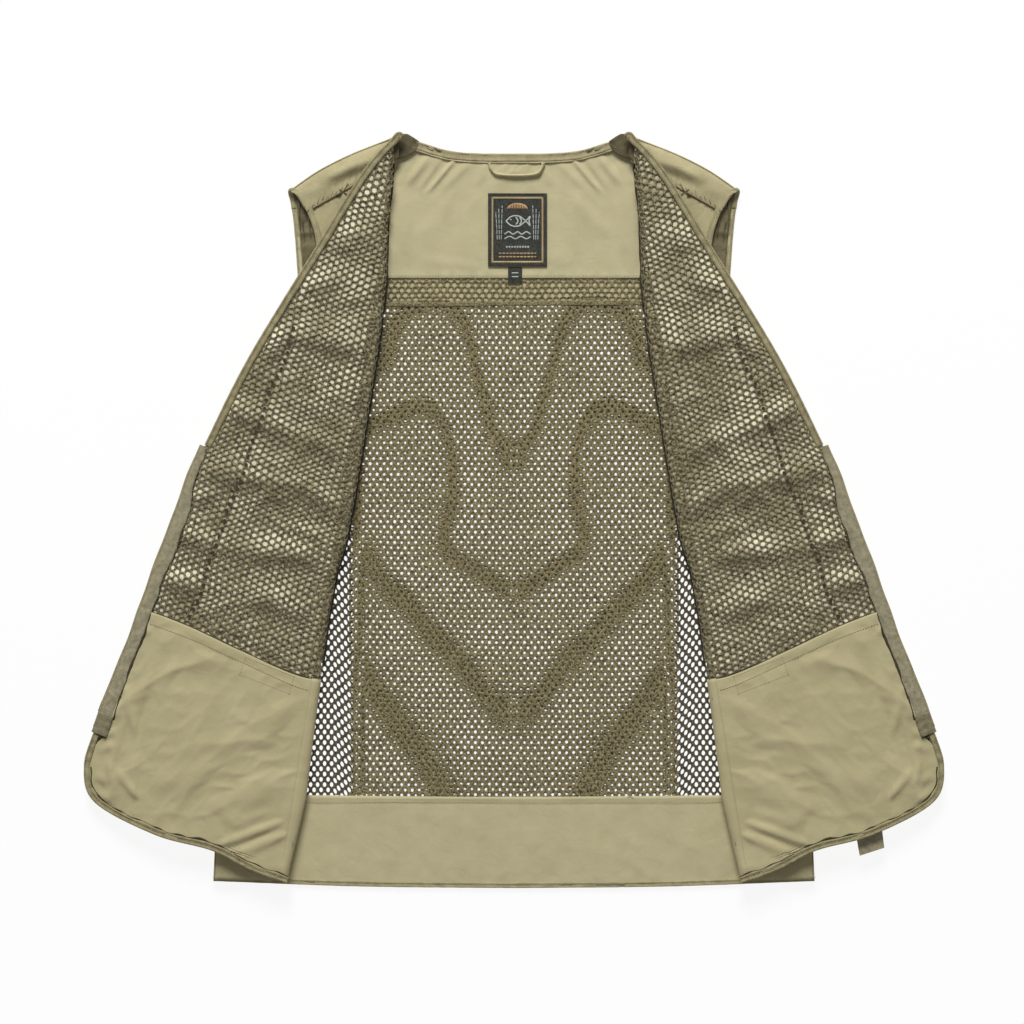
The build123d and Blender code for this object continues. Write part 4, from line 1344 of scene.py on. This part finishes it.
def make_painted_shadows(side, sign):
    """Narrow dark strips of painted shadow: under the tape's inner edge, inside the hem binding, in the pocket's mouth,
    and beside the roll.
    """
    body = f"{side}_front"
    parts = []
    d = np.linspace(0, float(np.hypot(*(np.array(ZIP[1]) - ZIP[0]))), len(zip_line))
    outw, width = tape_edges(d)
    p = zip_line + normals(zip_line) * (outw - width + 0.1)[:, None]
    p = p[8:-8]
    wide = np.clip(1.05 + 0.5 * waves(d, 0 * d, 22, 143), 0.6, 1.9)[8:-8, None]
    prof = np.array([(1, -0.4), (0.8, 0.1), (-0.8, 0.1), (-1, -0.4)])[None] * np.stack([wide, 1 + 0 * wide], -1)
    z = np.where(p[:, 1] < mouth_y(p[:, 0]), pocket_z(p[:, 0], p[:, 1], 0.15), lens_z(p[:, 0], p[:, 1], 2.1))
    parts.append(tube(lifted(p, z), prof))
    d = np.arange(len(corner)) * 1.5
    p = corner - normals(corner) * (6.9 + 0.7 * waves(d, 0 * d, 16, 144))[:, None]
    p = p[24:]
    wide = np.clip(0.5 + 0.5 * waves(d, 0 * d, 17, 145), 0.12, 1.3)[24:, None]
    prof = np.array([(1, -0.4), (0.8, 0.1), (-0.8, 0.1), (-1, -0.4)])[None] * np.stack([wide, 1 + 0 * wide], -1)
    parts.append(tube(lifted(p, pocket_z(p[:, 0], p[:, 1], 0.2)), prof))
    p = mouth[::-1]
    s, t = roll_coords(p[:, 0], p[:, 1])
    p = p[(s > join_s(t) + 1) & (s < front_outer_s(t) - 12)]
    d = np.arange(len(p)) * 3.0
    wide = np.clip(1.3 + 0.5 * waves(d, 0 * d, 40, 146), 0.6, 2.2)[:, None]
    prof = np.array([(1, -0.3), (0.9, 0.2), (-1, 0.3), (-1, -0.3)])[None] * np.stack([wide, 1 + 0 * wide], -1)
    parts.append(tube(lifted(p, lens_z(p[:, 0], p[:, 1], 2.3)), prof))
    dress(add(f"{side}_seam_painted_shadows", *merge(parts), PAINTED_SHADOW, sign), body)
    # Dark strip beside the roll, on the back: painted shadow where the roll meets the centre mesh
    t = np.linspace(22, 482, 190)
    wide = np.clip(2.0 + 0.5 * waves(t, 0 * t, 30, 147), 1.2, 3.0)[:, None]
    x, y = from_roll(fold_s(t) + 0.6, t)
    prof = np.array([(1, -0.8), (0.8, 0.3), (-0.8, 0.3), (-1, -0.8)])[None] * np.stack([wide, 1 + 0 * wide], -1)
    dress(add(f"{side}_roll_painted_shadow", *tube(np.column_stack([x, y, 4.0 + 0 * x]), prof), PAINTED_SHADOW, sign), "vest_back")


def make_patches(side, sign):
    """Hook and loop inside the pocket's mouth, and the stitched rectangle that shows outside it."""
    corners = np.array([(243, -136), (199.5, -153.5), (204, -168.5), (248.5, -151)], float)
    for name, w, node in (("loop", 2.3, "loop_patch"), ("hook", 3.0, "hook_patch")):
        u = np.linspace(0, 1, 26)[:, None, None]
        v = np.linspace(0, 1, 10)[None, :, None]
        p = (corners[0] * (1 - u) + corners[1] * u) * (1 - v) + (corners[3] * (1 - u) + corners[2] * u) * v
        z = front_z(p[..., 0], p[..., 1], w) + front_rise(p[..., 0], p[..., 1]) * 0.9
        vv, ff = slab(np.dstack([p, z]), 0.6)
        dress(add(f"{side}_{name}_patch_pile", vv, ff, PILE, sign), f"{side}_front", (f"{side}_{node}",))
    box = [(243, -132.9), (199.3, -150.2), (203.8, -165.6), (248.4, -148.3), (243, -132.9)]
    rows = []
    for a, b in zip(box, box[1:]):
        p = np.array([np.array(a) + (np.array(b) - a) * q for q in np.linspace(0, 1, 20)])
        rows.append(lifted(p, pocket_z(p[:, 0], p[:, 1], 0.05)))
    m = mouth[(mouth[:, 0] > 190) & (mouth[:, 0] < 334)]
    m = m - normals(m) * 0
    below = np.column_stack([m[:, 0] - 4, m[:, 1] - 11.5])
    rows.append(lifted(below, pocket_z(below[:, 0], below[:, 1], 0.35)))
    stitch_piece(f"{side}_pocket_mouth_stitching", rows, f"{side}_front", sign, material=THREAD)
    # line of sewn-through holes down the lining, where the outer pockets are sewn on; each hole is a small dark dish,
    # its darkness painted shadow
    t = np.arange(186, 462, 7.6)
    x, y = from_roll(stitch_s(t) + 1.2 * np.sin(t / 9), t)
    dots = []
    for xx, yy in zip(x, y):
        zz = lens_z(xx, yy, 1.5) + 0.55
        ring = [(xx + 1.75 * math.cos(a), yy + 1.9 * math.sin(a), zz + 0.8) for a in np.linspace(0, 2 * math.pi, 10, endpoint=False)]
        dots.append((np.array(ring + [(xx, yy, zz + 0.3)]), [[k, (k + 1) % 10, 10] for k in range(10)]))
    dress(add(f"{side}_tack_hole_painted_shadows", *merge(dots), PAINTED_SHADOW, sign), f"{side}_front")


def make_side_front(side, sign):
    """The part of the front that stays down: shell, lining net, shoulder and armhole."""
    nu, nv = 40, 170

    def outer_x(y):
        pts = np.vstack([[(204.8, 292)], arm_front, side_seam])
        order = np.argsort(pts[:, 1])
        return np.interp(y, pts[order, 1], pts[order, 0])

    def seam_y(x):
        return 332.2 - (x - 80) * 0.5633

    y = np.linspace(-336, 318, nv + 1)[None, :]
    u = np.linspace(0, 1, nu + 1)[:, None]
    t = (TOP[1] - y) / -ALONG[1]
    s0 = join_s(t)
    x0 = TOP[0] + (TOP[1] - y) * (LOW[0] - TOP[0]) / (TOP[1] - LOW[1]) + s0 / OUT[0]
    x1 = outer_x(y) - 1.8
    x = x0 + (x1 - x0) * u
    yy = y + 0 * x
    over = seam_y(x) - 0.3
    yy = np.minimum(yy, over)
    z = 8.8 + 0.25 * np.clip(waves(x, yy, 50, 121), -1, 1) * np.clip(u * (1 - u) * 4, 0, 1)
    z = z + 0.9 * crumple(x, yy, 22, 122, angle=-0.9, spread=0.6) * np.clip((yy - 170) / 30, 0, 1) * (1 - u**6)
    v, f = slab(np.stack([x, yy, z], -1), 0.6)
    o = add(f"{side}_side_front_shell_cloth", v, f, SHOULDER_CLOTH, sign)
    dress(o, "vest_back", (f"{side}_side_front_shell",))

    def panel_z(px, py):
        """Top of the shoulder panel, gathered into its seam."""
        low, high = seam_y(px) + 0.2, np.interp(px, shoulder[:, 0], shoulder[:, 1]) - 1.0
        m = np.clip((py - low) / np.maximum(high - low, 1), 0, 1)
        gather = 1.0 * np.exp(-((py - low - 2) / 7) ** 2) * (0.6 + np.sin(px * 2 * np.pi / 5.2 + 1.4 * np.sin(px / 7)))
        soft = creases(px, py, [(120, 322, 178, 300, 5, 3.4), (112, 333, 160, 311, 5, 1.6),
                                (150, 306, 190, 286, 6, 1.4), (136, 309, 172, 292, 5, -1.4)])
        z = 9.6 + gather + soft + 1.8 * np.sin(np.pi * m) ** 0.7 * np.clip((px - 106) / 30, 0.3, 1)
        return z - 1.5 * np.clip(1 - (high - py) / 6, 0, 1) ** 2

    # shoulder panel, gathered into the seam
    xs = np.linspace(0, 1, 61)[:, None]
    vv = np.linspace(0, 1, 25)[None, :]
    x_lo = 106.5 + (203.0 - 106.5) * xs
    y_hi = np.interp(x_lo, shoulder[:, 0], shoulder[:, 1]) - 1.0
    arm_top = np.interp(x_lo, [178, 180, 187.5, 196, 204], [243, 243, 270, 287, 291])
    y_lo = np.where(x_lo < 186, seam_y(x_lo) + 0.2, np.maximum(seam_y(x_lo) + 0.2, arm_top))
    y_lo = np.minimum(y_lo, y_hi - 1)
    yv = y_lo + (y_hi - y_lo) * vv
    xv = x_lo + 0 * vv
    z = panel_z(xv, yv)
    v, f = slab(np.stack([xv, yv, z], -1), 0.6)
    o = add(f"{side}_shoulder_panel_cloth", v, f, SHOULDER_CLOTH, sign)
    dress(o, "vest_back", (f"{side}_shoulder_panel",))
    # A dark tube along the shoulder seam: painted shadow in its groove
    seam = np.array([(x, seam_y(x)) for x in np.linspace(112, 184, 40)])
    v, f = tube(lifted(seam[3:], 9.6), [(0.36, -0.2), (0.25, 0.4), (-0.25, 0.4), (-0.36, -0.2)])
    dress(add(f"{side}_shoulder_seam_painted_shadow", v, f, PAINTED_SHADOW, sign), "vest_back")
    # Gathers at the shoulder seam as thin strips of dark cloth: painted shade in their folds
    painted_shade_pleats = []
    thin = [(0.26, -0.5), (0.12, 0.12), (-0.12, 0.12), (-0.26, -0.5)]
    for k, x in enumerate(np.arange(140, 184, 4.3)):
        reach = 4.5 + 2.5 * math.sin(2.4 * k)
        p = smooth([(x - 1.5, seam_y(x) + 1.5 + reach), (x - 0.5, seam_y(x) + 4), (x + 0.6, seam_y(x) + 1.5)], 0.8)
        painted_shade_pleats.append(tube(lifted(p, panel_z(p[:, 0], p[:, 1]) + 0.1), thin))
    for a, b in (((150.5, 297.5), (158.5, 286)), ((151, 287.5), (159, 292.5))):
        p = smooth([a, b], 0.8)
        z = np.where(p[:, 1] > seam_y(p[:, 0]), panel_z(p[:, 0], p[:, 1]) + 0.3, 10.4)
        painted_shade_pleats.append(tube(lifted(p, z), [(0.32, -0.5), (0.2, 0.3), (-0.2, 0.3), (-0.32, -0.5)]))
    # Folds in the armhole as tapering strips of a darker cloth: painted shade
    painted_shade_streaks = []
    for line, w in (([(195.6, 283), (195.8, 270), (194.6, 256)], 1.5), ([(191, 281), (187.4, 268), (185, 250)], 1.9),
                    ([(192.6, 264), (191, 252), (190.6, 246)], 0.9)):
        p = lifted(smooth(line, 1.5), 6.9)
        thin = np.linspace(1, 0.15, len(p))[:, None]
        prof = np.array([(w, -0.6), (0.4 * w, 0.15), (-0.4 * w, 0.15), (-w, -0.6)])[None] * np.stack([thin, 1 + 0 * thin], -1)
        painted_shade_streaks.append(tube(p, prof))
    dress(add(f"{side}_armhole_fold_painted_shadows", *merge(painted_shade_streaks), TURNED_PAINTED_SHADE, sign), "vest_back")
    dress(add(f"{side}_shoulder_pleats", *merge(painted_shade_pleats), SHADE, sign), "vest_back")

    def keep(px, py):
        s, tt = roll_coords(px, py)
        wide = outer_x(np.minimum(py, 291)) - 5
        top = np.interp(px, shoulder[:, 0], shoulder[:, 1]) - 4
        return (s > join_s(tt) - 2) & (px < wide) & (py < top) & (py > -337)

    v, f = lattice((90, 276, -338, 344), keep, lambda a, b, h: (a, b, 7.35 - h * 0.6), hole=(1.8, 2.2))
    o = add(f"{side}_side_front_net", v, f, MESH, sign)
    dress(o, "vest_back", (f"{side}_side_front_mesh",))

    # shoulder fold: cloth rounding over from front to back
    n = len(shoulder)
    sh = shoulder[2:]
    half = [(0.9 * math.cos(a), 4.9 + 4.6 * math.sin(a)) for a in np.linspace(-1.5, 1.5, 9)]
    half += [(x - 0.9, z) for x, z in half[::-1]]
    v, f = tube(lifted(sh - normals(sh) * 1.0, 0.0), half)
    dress(add(f"{side}_shoulder_fold_cloth", v, f, SHOULDER_CLOTH, sign), "vest_back", (f"{side}_shoulder_fold",))
    ss = side_seam[2:-1]
    half = [(0.8 * math.cos(a), 4.4 + 4.3 * math.sin(a)) for a in np.linspace(-1.5, 1.5, 9)]
    half += [(x - 0.8, z) for x, z in half[::-1]]
    v, f = tube(lifted(ss - normals(ss) * 0.9, 0.0), half)
    dress(add(f"{side}_side_seam_strip", v, f, BIND, sign), "vest_back", (f"{side}_side_seam_tape",))
    binding(f"{side}_armhole_back_tape", arm_back, 0.0, -6, 0, 0.0, 2.6, "vest_back",
            (f"{side}_armhole_binding_back",), sign, seed=131)
    za = 6.9 + 0 * arm_front[:, 0]
    binding(f"{side}_armhole_front_tape", lifted(arm_front, za), None, -6, 0, 0.0, 3.4, "vest_back",
            (f"{side}_armhole_binding_front",), sign, seed=133, rim=0.5)
    # The lining seen in the armhole, in a dark cloth: painted shade under the shoulder
    u = np.linspace(0, 1, 16)[:, None]
    w = np.linspace(0, 1, 60)[None, :]
    yy = 190 + 99 * w + 0 * u
    x_out = np.interp(yy, arm_back[::-1, 1], arm_back[::-1, 0]) - 5.5
    x = 172 + (x_out - 172) * u
    z = 4.6 + 2.4 * crumple(x, yy, 20, 151, angle=-0.9, spread=0.8) + 0.4 * waves(x, yy, 30, 152)
    v, f = slab(np.stack([x, yy, np.clip(z, 4.4, 6.7)], -1), 0.5)
    o = add(f"{side}_armhole_lining_painted_shade_cloth", v, f, SHADE, sign)
    dress(o, "vest_back", ())
    tip = smooth([(189, 277, 9.0), (194.6, 286.4, 9.2), (199.6, 291.4, 8.4), (203.4, 291.6, 6.2), (203.2, 288, 3.6),
                  (201.8, 283, 1.8), (200.8, 276, 1.3)], 0.8)
    v, f = tube(tip, flat_profile(-2.4, 2.2, -0.8, 1.8, 0.1, 0.3))
    dress(add(f"{side}_shoulder_tip_tape", v, f, BIND, sign), "vest_back")
    rows = [lifted(arm_front[8:] - normals(arm_front)[8:] * 5.2, 10.5), lifted(arm_front[8:] - normals(arm_front)[8:] * 1.6, 10.6),
            lifted(arm_back[8:] - normals(arm_back)[8:] * 1.6, 2.9), lifted(arm_back[8:] - normals(arm_back)[8:] * 5.0, 2.85)]
    stitch_piece(f"{side}_armhole_stitching", rows, "vest_back", sign)


def make_rod_loop():
    corners = np.array([(309, -284), (333, -276), (336.5, -306), (314, -313)], float)
    u = np.linspace(0, 1, 30)[:, None, None]
    v = np.linspace(0, 1, 30)[None, :, None]
    p = (corners[0] * (1 - u) + corners[1] * u) * (1 - v) + (corners[3] * (1 - u) + corners[2] * u) * v
    rib = 0.1 * np.sin(u[..., 0] * 24 * 2 * np.pi / 1.7) + 0 * v[..., 0]
    hemmed = 0.5 * np.clip((v[..., 0] - 0.82) / 0.06, 0, 1) + 0 * u[..., 0]
    z = front_z(p[..., 0], p[..., 1], -1.3) + rib + hemmed
    vv, ff = slab(np.dstack([p, z]), 1.4)
    o = add("right_rod_loop_webbing", vv, ff, TAPE, 1, sharp=50)
    dress(o, "right_front", ("right_rod_loop",))


for side, sign in SIDES:
    make_side_front(side, sign)
    make_front_shell(side, sign)
    make_front_mesh(side, sign)
    make_pocket(side, sign)
    make_edges(side, sign)
    make_zip(side, sign)
    make_outer_pockets(side, sign)
    make_patches(side, sign)
    make_painted_shadows(side, sign)
    fold_section(sign, f"{side}_roll_shell", 8.4, lambda x, y: front_z(x, y, 0.6), -1.4, KHAKI,
                 (26, RUN - 4), (-1, 1))
    fold_section(sign, f"{side}_roll_net", 7.3, lambda x, y: lens_z(x, y, 1.4), 0.0, FRONT_MESH,
                 (13, RUN - 3), (-1, 1), net=True)
    fold_section(sign, f"{side}_roll_pocket", 4.9, lambda x, y: pocket_z(x, y, -0.04), 0.8, POCKET,
                 (496.5, RUN - 3), (-0.75, 1))
make_zip_hardware()
make_rod_loop()


# ---------------------------------------------------------------- floor, light, camera
def stage():
    bpy.ops.mesh.primitive_plane_add(size=12, location=(0, 0, -0.0004))
    floor = bpy.context.object
    floor.name = "studio_floor"
    m = bpy.data.materials.new("floor_white")
    m.use_nodes = True
    b = m.node_tree.nodes["Principled BSDF"]
    b.inputs["Base Color"].default_value = (0.12, 0.12, 0.12, 1)
    b.inputs["Roughness"].default_value = 0.95
    b.inputs["Specular IOR Level"].default_value = 0.0
    b.inputs["Emission Color"].default_value = (1, 1, 1, 1)
    b.inputs["Emission Strength"].default_value = 0.89
    floor.data.materials.append(m)
    for name, where, size, power in (("key_light", (-0.4, 3.8, 2.9), 1.7, 236), ("fill_light", (0.6, -1.6, 2.2), 1.6, 4)):
        lamp = bpy.data.lights.new(name, "AREA")
        lamp.shape = "SQUARE"
        lamp.size = size
        lamp.energy = power
        obj = bpy.data.objects.new(name, lamp)
        obj.location = where
        obj.rotation_euler = (-Vector(where)).to_track_quat("-Z", "Y").to_euler()
        bpy.context.scene.collection.objects.link(obj)
    world = bpy.data.worlds.new("studio")
    world.use_nodes = True
    world.node_tree.nodes["Background"].inputs["Color"].default_value = (1, 1, 1, 1)
    world.node_tree.nodes["Background"].inputs["Strength"].default_value = 0.2
    bpy.context.scene.world = world
    cam = bpy.data.cameras.new("camera")
    cam.lens = 100
    cam.sensor_width = 36
    cam.clip_end = 50
    cam.dof.use_dof = False
    eye = bpy.data.objects.new("camera", cam)
    eye.location = (-0.0018, -0.0009, 2.596)
    bpy.context.scene.collection.objects.link(eye)
    bpy.context.scene.camera = eye
    bpy.context.scene.view_settings.view_transform = "Standard"


stage()
